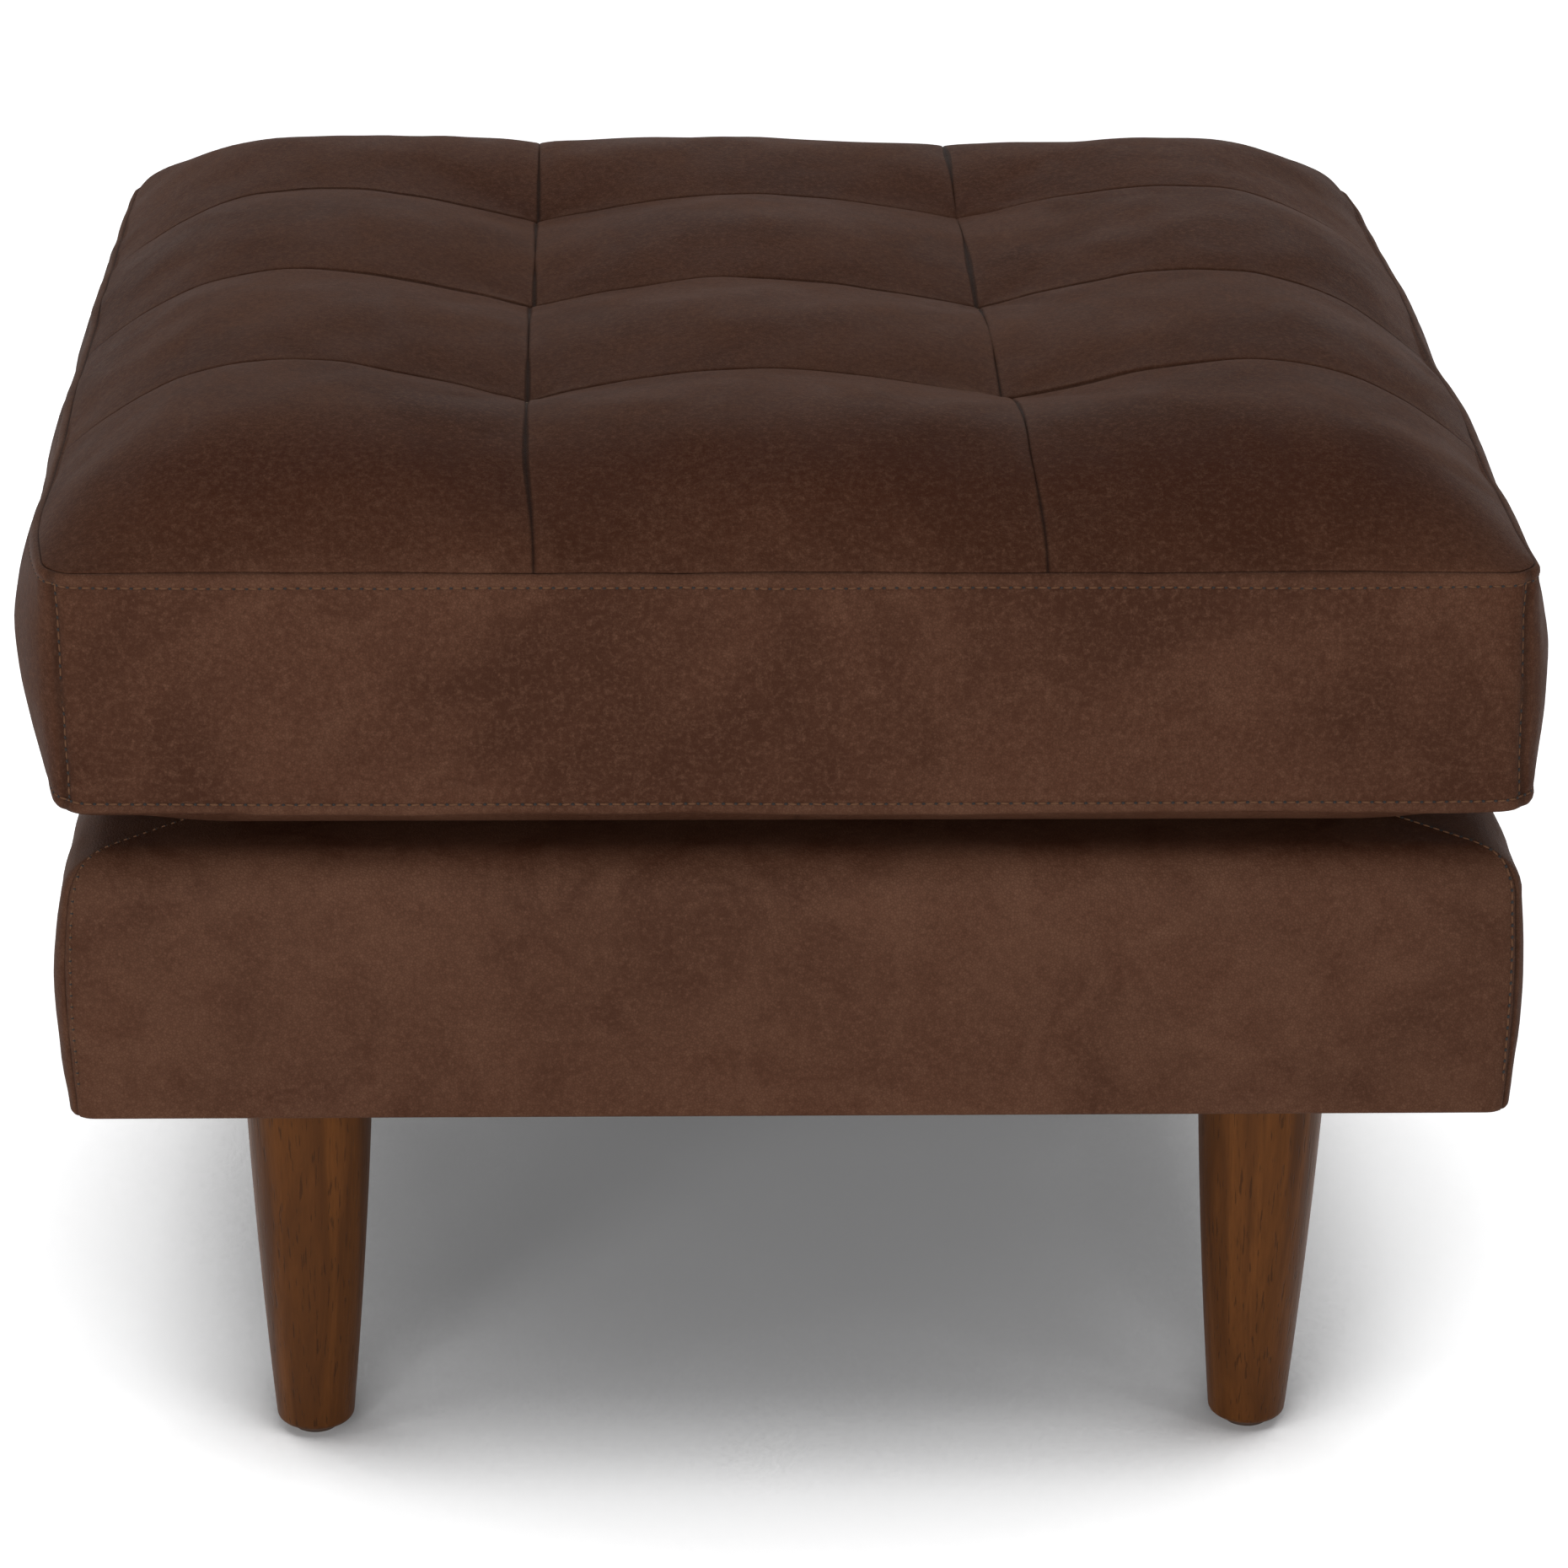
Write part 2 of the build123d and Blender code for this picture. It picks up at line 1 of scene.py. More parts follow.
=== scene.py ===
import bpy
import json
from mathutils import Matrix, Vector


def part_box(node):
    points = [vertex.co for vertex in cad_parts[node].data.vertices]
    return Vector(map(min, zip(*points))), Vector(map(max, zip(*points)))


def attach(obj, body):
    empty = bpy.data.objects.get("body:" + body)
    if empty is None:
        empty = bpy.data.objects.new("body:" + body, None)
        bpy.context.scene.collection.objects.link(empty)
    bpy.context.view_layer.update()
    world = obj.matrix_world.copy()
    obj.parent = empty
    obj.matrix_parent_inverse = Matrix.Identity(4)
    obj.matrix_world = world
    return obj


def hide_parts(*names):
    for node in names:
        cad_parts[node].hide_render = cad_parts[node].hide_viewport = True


bl_info = {
    "name": "Tufted Ottoman",
    "version": (1, 0, 0),
    "blender": (4, 5, 0),
    "location": "View3D > Sidebar > Ottoman",
    "description": "Dresses the packed ottoman frame in leather, thread, cloth and wood",
    "category": "Object",
}

import json
import math
from functools import partial

import bpy
import numpy as np
from bpy.props import FloatProperty, FloatVectorProperty, PointerProperty
from mathutils import Vector

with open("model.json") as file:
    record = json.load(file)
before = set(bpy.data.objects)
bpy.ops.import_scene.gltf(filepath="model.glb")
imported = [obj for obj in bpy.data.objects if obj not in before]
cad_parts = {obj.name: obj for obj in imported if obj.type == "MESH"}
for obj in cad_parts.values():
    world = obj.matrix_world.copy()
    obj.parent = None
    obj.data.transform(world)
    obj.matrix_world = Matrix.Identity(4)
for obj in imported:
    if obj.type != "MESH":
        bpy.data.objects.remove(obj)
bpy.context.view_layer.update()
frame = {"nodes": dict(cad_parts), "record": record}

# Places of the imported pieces, in metres
FIRST_ROW_LOW, FIRST_ROW_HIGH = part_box("top_panels_row1")
ROW_LINES = [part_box(f"top_panels_row{row}")[0].y for row in (1, 2, 3, 4)]
ROW_LINES.append(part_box("top_panels_row4")[1].y)
UNDER_LOW, UNDER_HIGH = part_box("underside_left")
FRONT_COVER_LOW, FRONT_COVER_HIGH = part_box("base_cover_front")
SIDE_COVER_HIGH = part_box("base_cover_right")[1]
RAIL_LOW, RAIL_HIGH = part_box("rail_front")
CHAIN_LOW, CHAIN_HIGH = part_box("zip_chain")
TAPES_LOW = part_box("zip_tapes")[0]
LEATHER = 0.0014
HALF_WIDTH = FIRST_ROW_HIGH.x
HALF_DEPTH = -ROW_LINES[0]
SEAM_TOP = FIRST_ROW_LOW.z + LEATHER
SEAM_LOW = UNDER_HIGH.z
BOXING_HEIGHT = SEAM_TOP - SEAM_LOW
UNDERSIDE = UNDER_LOW.z
HEM = FRONT_COVER_LOW.z
BASE_TOP = FRONT_COVER_HIGH.z
ZIP_MIDDLE = (CHAIN_LOW.z + CHAIN_HIGH.z) / 2
CORNERS = [(side_x, side_y) for side_x in (-1, 1) for side_y in (-1, 1)]


def length(name, value, description):
    """A size in metres that a user may change."""
    return FloatProperty(name=name, description=description, default=value, unit="LENGTH", precision=4)


def level(name, value, description):
    """A plain number that a user may change."""
    return FloatProperty(name=name, description=description, default=value)


def colour(name, value, description):
    """A colour that a user may change."""
    return FloatVectorProperty(
        name=name, description=description, default=value, subtype="COLOR", min=0, max=1, size=3
    )


class CushionSizes(bpy.types.PropertyGroup):
    """Shape of the tufted seat cushion."""

    tuft_rise: length("Tuft height", 0.026, "Height of the pulled points over the edge seam")
    ridge_rise: length("Row seam height", 0.0378, "Height of a row seam in the middle of a panel")
    outer_ridge_rise: length("Outer row seam height", 0.0412, "The same in the two outer columns")
    channel_rise: length("Depth seam height", 0.032, "Height of a depth seam between two tufts")
    end_channel_rise: length("End seam height", 0.038, "The same in the first and the last row")
    pillow_rise: length("Pillow height", 0.0452, "Height of a panel's crest")
    shoulder: length("Shoulder", 0.086, "Width of the rounded shoulder inside the edge seam")
    column_seam: length("Depth seam place", 0.102, "Distance of the depth seams from the middle")
    pinch: length("Pinch", 0.0018, "How sharply the leather falls into a depth seam")
    row_pinch: length("Row pinch", 0.0012, "How sharply the leather falls into a row seam")
    groove: length("Seam groove", 0.0009, "Depth of the narrow groove along a seam")
    corner: length("Corner radius", 0.013, "Radius of the seam's corners seen from above")
    side_bulge: length("Side bulge", 0.0185, "How far the side boxing stands out")
    seam_bow: length("Seam bow", 0.003, "How far the top's side seams bow out")
    lean: length("Lean", 0.0065, "How far the top is pushed to the left over the underside")
    back_drop: length("Back drop", 0.002, "How much lower the crests of the back row are")
    front_bulge: length("Front bulge", 0.006, "How far the front and back boxing stand out")
    lip: length("Lip", 0.0021, "How far the rolled lip along a seam stands out")
    stitch_drop: length("Stitch line", 0.0056, "From a boxing seam to its line of stitches")
    zip_half: length("Zip opening", 0.005, "Half the height of the opening over the zip")
    unevenness: length("Unevenness", 0.0009, "Height of the soft waves of the leather")
    simulated_reach: length("Simulated reach", 0.006, "How far the simulation may move the top")


class BaseSizes(bpy.types.PropertyGroup):
    """Shape of the upholstered base."""

    widen: length("Fullness", 0.006, "How far the padded sides stand out past the pattern")
    edge_radius: length("Edge radius", 0.02, "Radius of the soft top edge")
    hem_radius: length("Hem radius", 0.0026, "Radius of the fold at the hem")
    corner: length("Corner radius", 0.011, "Radius of the corners seen from above")
    border: length("Border", 0.0855, "Width of the leather border on the deck")
    hem_return: length("Hem return", 0.025, "Width of leather turned in under the frame")
    side_bulge: length("Side bulge", 0.008, "How far the sides stand out")
    front_bulge: length("Front bulge", 0.003, "How far the front and back stand out")
    unevenness: length("Unevenness", 0.0008, "Height of the soft waves of the leather")


class StitchSizes(bpy.types.PropertyGroup):
    """Size of the stitches and the staples."""

    pitch: length("Stitch pitch", 0.0051, "Distance between two stitches")
    stitch: length("Stitch length", 0.0037, "Length of one stitch")
    thread: length("Thread radius", 0.00052, "Radius of the thread")
    hole: length("Needle hole", 0.0008, "Radius of a needle hole")


class LegSizes(bpy.types.PropertyGroup):
    """Shape of the turned legs and their glides."""

    top_radius: length("Top radius", 0.0282, "Radius of a leg under the frame")
    bottom_radius: length("Foot radius", 0.017, "Radius of a leg at its foot")
    swell: length("Swell", 0.0011, "How far a leg is full at its middle")
    foot_round: length("Foot rounding", 0.0036, "Radius of the rounded edge at the foot")
    glide_radius: length("Glide radius", 0.01, "Radius of a glide")
    glide_round: length("Glide rounding", 0.0012, "Radius of a glide's edges")


class Colours(bpy.types.PropertyGroup):
    """Colours of the finishes, as linear values."""

    leather_dark: colour("Dark leather", (0.046, 0.0172, 0.0092), "Leather where the wax lies thick")
    leather: colour("Leather", (0.083, 0.0345, 0.0196), "Main colour of the leather")
    leather_light: colour("Pulled leather", (0.137, 0.067, 0.041), "Leather where it is pulled and worn")
    # Painted shade: this colour darkens the cushion's forward-facing slopes and the base's deck border under the
    # cushion
    painted_shade_leather: colour("Waxed leather", (0.044, 0.0125, 0.0055), "Leather where wax gathers on the tufted slopes")
    thread: colour("Thread", (0.17, 0.082, 0.044), "Thread of the seams")
    wood_dark: colour("Dark wood", (0.06, 0.02, 0.0045), "Dark grain of the legs")
    wood: colour("Wood", (0.125, 0.043, 0.0095), "Main colour of the legs")
    glide: colour("Glide", (0.045, 0.023, 0.013), "Plastic of the glides")


class StageSizes(bpy.types.PropertyGroup):
    """Floor, lights and camera."""

    floor: length("Floor", 30.0, "Width of the floor")
    floor_glow: level("Floor glow", 0.85, "Light of the open floor")
    shadow_reach: length("Shadow reach", 0.42, "How far the object's shadow spreads on the floor")
    shadow_core: level("Shadow core", 0.42, "Openness where the shadow is full")
    shadow_edge: level("Shadow edge", 0.64, "Openness where the shadow ends")
    top_light: level("Top light", 13.0, "Power of the large light overhead")
    front_light: level("Front light", 50.0, "Power of the light in front")
    side_light: level("Side light", 1.0, "Power of the light beside")
    world: level("World", 0.22, "Strength of the light all round")


GROUPS = {
    "ottoman_cushion": CushionSizes,
    "ottoman_base": BaseSizes,
    "ottoman_stitches": StitchSizes,
    "ottoman_legs": LegSizes,
    "ottoman_colours": Colours,
    "ottoman_stage": StageSizes,
}


# Meshes

WAVE_COUNT, WAVE_SPREAD = 14, 3.7
# Share, size and seed of the soft waves in padded leather
LEATHER_WAVES = ((1.0, 0.16, 3), (0.45, 0.06, 5), (0.15, 0.025, 8))


def link(name, data):
    """A new object of a mesh, a light or a camera, put into the scene."""
    item = bpy.data.objects.new(name, data)
    bpy.context.scene.collection.objects.link(item)
    return item


def add_mesh(name, points, faces=(), edges=(), smooth=True):
    """A new object from points and the faces or edges between them."""
    mesh = bpy.data.meshes.new(name)
    mesh.from_pydata([tuple(p) for p in np.asarray(points, float)], edges, [tuple(f) for f in faces])
    mesh.update()
    if smooth and faces:
        mesh.shade_smooth()
    return link(name, mesh)


def evaluated_mesh(piece):
    """A plain mesh of a piece as its modifiers leave it."""
    graph = bpy.context.evaluated_depsgraph_get()
    graph.update()
    return bpy.data.meshes.new_from_object(piece.evaluated_get(graph), depsgraph=graph)


def points_and_normals(mesh):
    """Places and normals of all points of a mesh, one per row."""
    found = []
    for items, name in ((mesh.vertices, "co"), (mesh.vertex_normals, "vector")):
        values = np.zeros(len(items) * 3, np.float32)
        items.foreach_get(name, values)
        found.append(values.reshape(-1, 3).astype(float))
    return found


def set_points(mesh, points):
    """Moves the points of a mesh to new places."""
    mesh.vertices.foreach_set("co", points.astype(np.float32).ravel())
    mesh.update()


def add_attributes(piece, **values):
    """A value at each point, under each name that the finish reads."""
    for name, value in values.items():
        attribute = piece.data.attributes.new(name, "FLOAT", "POINT")
        attribute.data.foreach_set("value", np.asarray(value, np.float32))


def numbered(shape, start=0):
    """Point numbers of a two-way net, row by row."""
    return start + np.arange(shape[0] * shape[1]).reshape(shape[:2])


def grid_faces(index, flip=False):
    """Faces over a two-way array of point numbers."""
    a, b = index[:-1, :-1].ravel(), index[:-1, 1:].ravel()
    c, d = index[1:, 1:].ravel(), index[1:, :-1].ravel()
    corners = (a, d, c, b) if flip else (a, b, c, d)
    return np.stack(corners, axis=1).tolist()


def closed_rings(index):
    """Rows of point numbers with each row's first number again at its end."""
    return np.concatenate([index, index[:, :1]], axis=1)


def capped_faces(index):
    """Faces round rows of point numbers, and over the first and the last row."""
    return grid_faces(closed_rings(index)) + [index[0, ::-1].tolist(), index[-1].tolist()]


def case_faces(shape, ring_count=0):
    """Faces of a closed case: an upper net, rings down from its border and a like net below.

    Also gives the numbers round the upper net's border, turning left, and the numbers of the rings.
    """
    upper = numbered(shape)
    loop = np.concatenate([upper[0, :-1], upper[:-1, -1], upper[-1, :0:-1], upper[:0:-1, 0]])
    rings = numbered((ring_count, len(loop)), upper.size)
    lower = upper + upper.size + rings.size
    side = closed_rings(np.concatenate([loop[None], rings, lower.ravel()[loop][None]]))
    return grid_faces(upper) + grid_faces(side, True) + grid_faces(lower, True), loop, rings


def add_rings(name, rings, capped=True):
    """A closed piece from rows of ring points, with flat ends or else closed on itself like a frame."""
    index = numbered(rings.shape)
    faces = capped_faces(index) if capped else grid_faces(closed_rings(np.concatenate([index, index[:1]])))
    return add_mesh(name, rings.reshape(-1, 3), faces)


def waves(points, size, seed):
    """Soft random waves of about that size, between about -1 and 1, the same on each run."""
    rng = np.random.default_rng(seed)
    total = np.zeros(len(points))
    for _ in range(WAVE_COUNT):
        direction = rng.normal(size=3)
        direction *= rng.uniform(0.6, 1.6) * 2 * math.pi / size / np.linalg.norm(direction)
        total += np.sin(points @ direction + rng.uniform(0, 2 * math.pi))
    return total / WAVE_SPREAD


def roughen(piece, amount, keep):
    """Moves a piece's points along their normals in soft waves; keep holds back where it is near 1."""
    points, normals = points_and_normals(piece.data)
    move = amount * sum(share * waves(points, size, seed) for share, size, seed in LEATHER_WAVES)
    set_points(piece.data, points + normals * (move * (1 - keep))[:, None])


def bell(distance, width):
    """1 at no distance, falling to nothing over about that width."""
    return np.exp(-((distance / width) ** 2))


def cusp(distance, width):
    """1 at no distance with a sharp point there, falling over about that width."""
    return np.exp(-np.abs(distance) / width)


def arch(share):
    """0 at both ends of a span and 1 in its middle."""
    return 4 * share * (1 - share)


def eased(share):
    """A share held between 0 and 1, with a soft turn at both."""
    share = np.clip(share, 0, 1)
    return share * share * (3 - 2 * share)


def climb(distance, reach, power):
    """0 at a seam and 1 at the crest, with a soft turn at both."""
    return np.sin(np.pi / 2 * np.clip(distance / reach, 0, 1)) ** power


def fullness(distance, half):
    """1 over most of a side, falling to nothing near its two corners."""
    return 1 - np.clip(np.abs(distance) / half, 0, 1) ** 8


# Seat cushion

NET_STEP = 0.0055
SEAM_FINE = [0.0005, 0.001, 0.0016, 0.0024, 0.0036, 0.0054, 0.0082]
LEFT_SLIPS = [-0.0025, -0.0025, -0.0005, 0.0005]
RIGHT_SLIPS = [0.0, -0.0045, -0.0055, -0.0055]
SLIP_RAMP = 0.003
SHOULDER_POWER = 0.9
HIGH_FULLNESS, LOW_FULLNESS = 0.9, 0.45
UNDER_MARGIN = 0.07
LEAN_REACH = 0.06


def lines_through(stops, fine):
    """Places from the first stop to the last, closer beside each stop by its own list of distances."""
    parts = [stops[:1]]
    for low, high, low_fine, high_fine in zip(stops, stops[1:], fine, fine[1:]):
        first = [low + distance for distance in low_fine]
        last = [high - distance for distance in reversed(high_fine)] + [high]
        count = max(1, round((last[0] - first[-1]) / NET_STEP))
        parts += [first, np.linspace(first[-1], last[0], count + 1)[1:-1], last]
    return np.concatenate(parts)


def plan_lines(sizes):
    """Sideways and depthways lines of the cushion's net, close together beside the seams."""
    edge = [0.5 * sizes.shoulder * share**1.8 for share in np.linspace(0, 1, 17)[1:]]
    seam = sizes.column_seam
    across = lines_through([-HALF_WIDTH, -seam, 0, seam, HALF_WIDTH], [edge, SEAM_FINE, SEAM_FINE[:5], SEAM_FINE, edge])
    return across, lines_through(ROW_LINES, [edge, SEAM_FINE, SEAM_FINE, SEAM_FINE, edge])


def slip_at(y, slips):
    """Sideways slip of a depth seam at each depth."""
    slip = np.full_like(y, slips[0])
    for line, before, after in zip(ROW_LINES[1:4], slips, slips[1:]):
        slip += (after - before) * eased((y - line) / SLIP_RAMP + 0.5)
    return slip


def leaned(points, sizes):
    """Points of the cushion with its top pushed to one side over its underside."""
    points = np.array(points, float)
    height = np.clip((points[..., 2] - SEAM_LOW) / BOXING_HEIGHT, 0, 1)
    points[..., 0] -= sizes.lean * height * (0.45 + 0.55 * eased((points[..., 1] + HALF_DEPTH) / LEAN_REACH))
    return points


def rounded_corner(x, y, radius):
    """Draws the square corners of the cushion's plan in to a radius."""
    u = np.clip((np.abs(x) - (HALF_WIDTH - radius)) / radius, 0, 1)
    v = np.clip((np.abs(y) - (HALF_DEPTH - radius)) / radius, 0, 1)
    new_u, new_v = u * np.sqrt(1 - v * v / 2), v * np.sqrt(1 - u * u / 2)
    return x + np.sign(x) * (new_u - u) * radius, y + np.sign(y) * (new_v - v) * radius


def shoulder_share(distance, width):
    """Height share of the rounded shoulder at a distance from the edge seam."""
    return (1 - (1 - np.clip(distance / width, 0, 1)) ** 2) ** SHOULDER_POWER


def tuft_places(sizes):
    """Where the six pulled points lie, seen from above."""
    seams = ((-sizes.column_seam, LEFT_SLIPS), (sizes.column_seam, RIGHT_SLIPS))
    lines = enumerate(ROW_LINES[1:4])
    return [(seam + (slips[row] + slips[row + 1]) / 2, line) for row, line in lines for seam, slips in seams]


def tuft_folds(x, y, seam_x, seam_y, number):
    """Dimple and fine folds round one pulled point."""
    far_x, far_y = x - seam_x, y - seam_y
    away = np.sqrt(far_x**2 + far_y**2) + 1e-6
    angle = np.arctan2(far_y, far_x)
    folds = np.cos(5 * angle + 2.1 * number) + 0.6 * np.cos(9 * angle - 3.3 * number)
    return 0.0005 * folds * away / (away + 0.01) * cusp(away, 0.024) - 0.0014 * cusp(away, 0.011)


def top_rise(sizes, x, y, left, right):
    """Height of the tufted top over its edge seam, with the distance from the nearest seams."""
    to_column = np.minimum(np.abs(x - left), np.abs(x - right))
    inside = (x > left) & (x < right)
    outer_reach = HALF_WIDTH - sizes.column_seam - sizes.shoulder
    column = np.where(inside, climb(to_column, (right - left) / 2, 1.15), climb(to_column, outer_reach, 1.3))
    lines = ROW_LINES[1:4]
    to_row = np.min([np.abs(y - line) for line in lines], axis=0)
    back = y > lines[-1]
    end_row = (y < lines[0]) | back
    end_reach = HALF_DEPTH - lines[-1] - sizes.shoulder
    row = np.where(end_row, climb(to_row, end_reach, 1.1), climb(to_row, (lines[1] - lines[0]) / 2, 1.1))
    ridge = np.where(inside, sizes.ridge_rise, sizes.outer_ridge_rise)
    channel = np.where(end_row, sizes.end_channel_rise + 1.5 * sizes.back_drop * back, sizes.channel_rise)
    crest_line = ridge + (sizes.pillow_rise - sizes.back_drop * back - ridge) * row
    channel_line = sizes.tuft_rise + (channel - sizes.tuft_rise) * row
    rise = channel_line + (crest_line - channel_line) * column
    rise -= sizes.pinch * cusp(to_column, 0.009) * (0.35 + 0.65 * row)
    rise -= sizes.row_pinch * cusp(to_row, 0.008) * (0.5 + 0.5 * column)
    for number, (tuft_x, tuft_y) in enumerate(tuft_places(sizes)):
        rise += tuft_folds(x, y, tuft_x, tuft_y, number)
    in_x = shoulder_share(HALF_WIDTH - np.abs(x), sizes.shoulder)
    in_y = shoulder_share(HALF_DEPTH - np.abs(y), sizes.shoulder)
    # The back corners stay fuller than the front ones
    square = (np.maximum(in_x, 0.01) ** -3.0 + np.maximum(in_y, 0.01) ** -3.0 - 1) ** (-1 / 3)
    rise *= np.where((y > 0) & (in_x * in_y > 0), square, in_x * in_y)
    rise -= sizes.groove * np.maximum(bell(to_column, 0.0006), 0.75 * bell(to_row, 0.0007)) * in_x * in_y
    return rise, to_column, to_row


def top_form(sizes, x_lines, y_lines):
    """Points of the tufted top over a net of lines, and their distances from the nearest seams."""
    x, y = np.meshgrid(x_lines, y_lines)
    seam, outer = sizes.column_seam, HALF_WIDTH - sizes.column_seam
    left_slip, right_slip = slip_at(y, LEFT_SLIPS), slip_at(y, RIGHT_SLIPS)
    left_part = left_slip * np.clip((x + HALF_WIDTH) / outer, 0, 1)
    middle_part = left_slip + (right_slip - left_slip) * (x + seam) / (2 * seam)
    right_part = right_slip * np.clip((HALF_WIDTH - x) / outer, 0, 1)
    x_top = x + np.where(x < -seam, left_part, np.where(x < seam, middle_part, right_part))
    rise, to_column, to_row = top_rise(sizes, x_top, y, left_slip - seam, right_slip + seam)
    plan_x, plan_y = rounded_corner(x_top, y, sizes.corner)
    side = np.clip((np.abs(x) - HALF_WIDTH + sizes.shoulder) / sizes.shoulder, 0, 1) ** 2
    plan_x += np.sign(x) * sizes.seam_bow * fullness(y, HALF_DEPTH) * side
    return np.stack([plan_x, plan_y, SEAM_TOP + rise], axis=-1), to_column, to_row


def under_form(sizes, x, y):
    """Points of the cushion's underside, which curls up at its edges."""
    curl_x = np.clip(1 - (HALF_WIDTH - np.abs(x)) / UNDER_MARGIN, 0, 1) ** 2
    curl_y = np.clip(1 - (HALF_DEPTH - np.abs(y)) / UNDER_MARGIN, 0, 1) ** 2
    height = UNDERSIDE + (SEAM_LOW - UNDERSIDE) * (1 - (1 - curl_x) * (1 - curl_y))
    return np.stack([*rounded_corner(x, y, sizes.corner), height], axis=-1)


def boxing_profile(sizes):
    """Steps down the boxing: outward shift, drop below the top seam, and a mark for each kind of line."""
    lip, stitch, half = sizes.lip, sizes.stitch_drop, sizes.zip_half
    middle = SEAM_TOP - ZIP_MIDDLE
    upper = [
        (-0.0006, 0.0008, "seam"),
        (0.45 * lip, 0.0002, "lip"),
        (0.85 * lip, 0.0009, "lip"),
        (lip, 0.0021, "lip"),
        (0.93 * lip, 0.0036, "lip"),
        (0.62 * lip, 0.0050, "lip"),
        (0.34 * lip, stitch, "stitch"),
        (0.45 * lip, stitch + 0.0014, "plain"),
        (0.42 * lip, stitch + 0.0034, "plain"),
        (0.20 * lip, stitch + 0.0075, "plain"),
    ]
    upper += [(0.0, drop, "plain") for drop in np.linspace(stitch + 0.014, middle - half - 0.008, 5)]
    opening = [(half + 0.0022, "plain"), (half + 0.0006, "zip_edge"), (half, "zip_edge"), (half - 0.0004, "zip")]
    steps = upper + [(0.0, middle - away, kind) for away, kind in opening]
    steps += [(0.0, middle + away, kind) for away, kind in [(0.0, "zip"), *reversed(opening)]]
    return steps + [(shift, BOXING_HEIGHT - drop, kind) for shift, drop, kind in reversed(upper)]


def boxing_bulge(sizes, places, outward):
    """How far the boxing stands out at mid height, at places round its edge."""
    side = outward[:, 0] ** 2
    full_side = sizes.side_bulge * fullness(places[:, 1], HALF_DEPTH)
    full_front = sizes.front_bulge * (0.4 + 0.6 * fullness(places[:, 0], HALF_WIDTH))
    return side * full_side + (1 - side) * full_front


def cushion_net(sizes):
    """All points of the closed cushion, its faces, marks for the finish, and its named lines of points."""
    x_lines, y_lines = plan_lines(sizes)
    x, y = np.meshgrid(x_lines, y_lines)
    top, to_column, to_row = top_form(sizes, x_lines, y_lines)
    bottom = under_form(sizes, x, y)
    bottom[..., 2] += 0.0008 * bell(x, 0.0009) * (bottom[..., 2] < UNDERSIDE + 0.001)
    profile = boxing_profile(sizes)
    faces, loop, ring_index = case_faces(x.shape, len(profile))
    edge, low_edge = top.reshape(-1, 3)[loop], bottom.reshape(-1, 3)[loop]
    ahead = np.roll(edge, -1, axis=0) - np.roll(edge, 1, axis=0)
    outward = np.stack([ahead[:, 1], -ahead[:, 0]], axis=1)
    outward /= np.linalg.norm(outward, axis=1, keepdims=True)
    bulge = boxing_bulge(sizes, edge, outward)
    corner_gap = np.hypot(HALF_WIDTH - np.abs(edge[:, 0]), HALF_DEPTH - np.abs(edge[:, 1]))
    corner_seam = bell(corner_gap - corner_gap.min(), 0.0006)
    at_back = (outward[:, 1] > 0.99) & (np.abs(edge[:, 0]) < CHAIN_HIGH.x + 0.001)

    rings, ring_marks = [], []
    for shift, drop, kind in profile:
        share = drop / BOXING_HEIGHT
        out = bulge * arch(share) ** (HIGH_FULLNESS if share < 0.5 else LOW_FULLNESS) + shift
        if kind == "zip":
            out = np.where(at_back, TAPES_LOW.y - 0.0007 - HALF_DEPTH, out)
        out = out + 0.0003 * at_back * (kind == "zip_edge")
        out = out - {"plain": 0.0012, "seam": 0.0}.get(kind, 0.0007) * corner_seam
        ring = edge.copy()
        ring[:, :2] += (low_edge - edge)[:, :2] * share + outward * out[:, None]
        ring[:, 2] = SEAM_TOP - drop
        rings.append(ring)
        ring_marks.append({"seam": 1.0, "stitch": 0.3}.get(kind, 0.0) + 0.45 * corner_seam)
    points = leaned(np.concatenate([top.reshape(-1, 3), *rings, bottom.reshape(-1, 3)]), sizes)

    kinds = np.array([kind for _, _, kind in profile])
    in_seam = np.maximum(bell(to_column, 0.0008), 0.6 * bell(to_row, 0.0008)).ravel()
    # Wear and painted highlight: lighter along the row and depth seams of the top, and most on the boxing's rolled lip
    top_wear_and_highlight = 0.55 * bell(to_row, 0.006) * shoulder_share(HALF_WIDTH - np.abs(top[..., 0]), 0.02)
    top_wear_and_highlight = np.maximum(top_wear_and_highlight, 0.25 * bell(to_column, 0.004)).ravel()
    ring_wear_and_highlight = np.repeat(np.where(kinds == "lip", 0.8, 0.1), len(loop))
    # Painted shade: the top is darkened where it climbs away from the front, on the slopes that face forward and up
    painted_shade_top = np.clip(np.gradient(top[..., 2], y_lines, axis=0) / 0.45, 0, 1)
    painted_shade_top = (painted_shade_top * np.clip((top[..., 2] - SEAM_TOP) / 0.03, 0, 1)).ravel()

    corner_lines = []
    for number in np.flatnonzero((corner_gap < np.roll(corner_gap, 1)) & (corner_gap <= np.roll(corner_gap, -1))):
        shift = 3 if edge[number, 0] * edge[number, 1] > 0 else -3
        corner_lines.append(ring_index[kinds == "plain", (number + shift) % len(loop)])
    return {
        "points": points,
        "faces": faces,
        "seam": np.concatenate([in_seam, *ring_marks, 0.5 * bell(x, 0.0012).ravel()]),
        "wear": np.concatenate([top_wear_and_highlight, ring_wear_and_highlight, np.zeros(x.size)]),
        "wax": np.concatenate([painted_shade_top, np.zeros(len(points) - x.size)]),
        "loop": loop,
        "stitch_rings": ring_index[kinds == "stitch"],
        "zip_rings": ring_index[kinds == "zip_edge"],
        "corner_lines": corner_lines,
        "at_back": at_back,
        "top_count": x.size,
    }


# Finishes

FINISHES = {}
HOLE_COLOUR = (0.006, 0.003, 0.002)


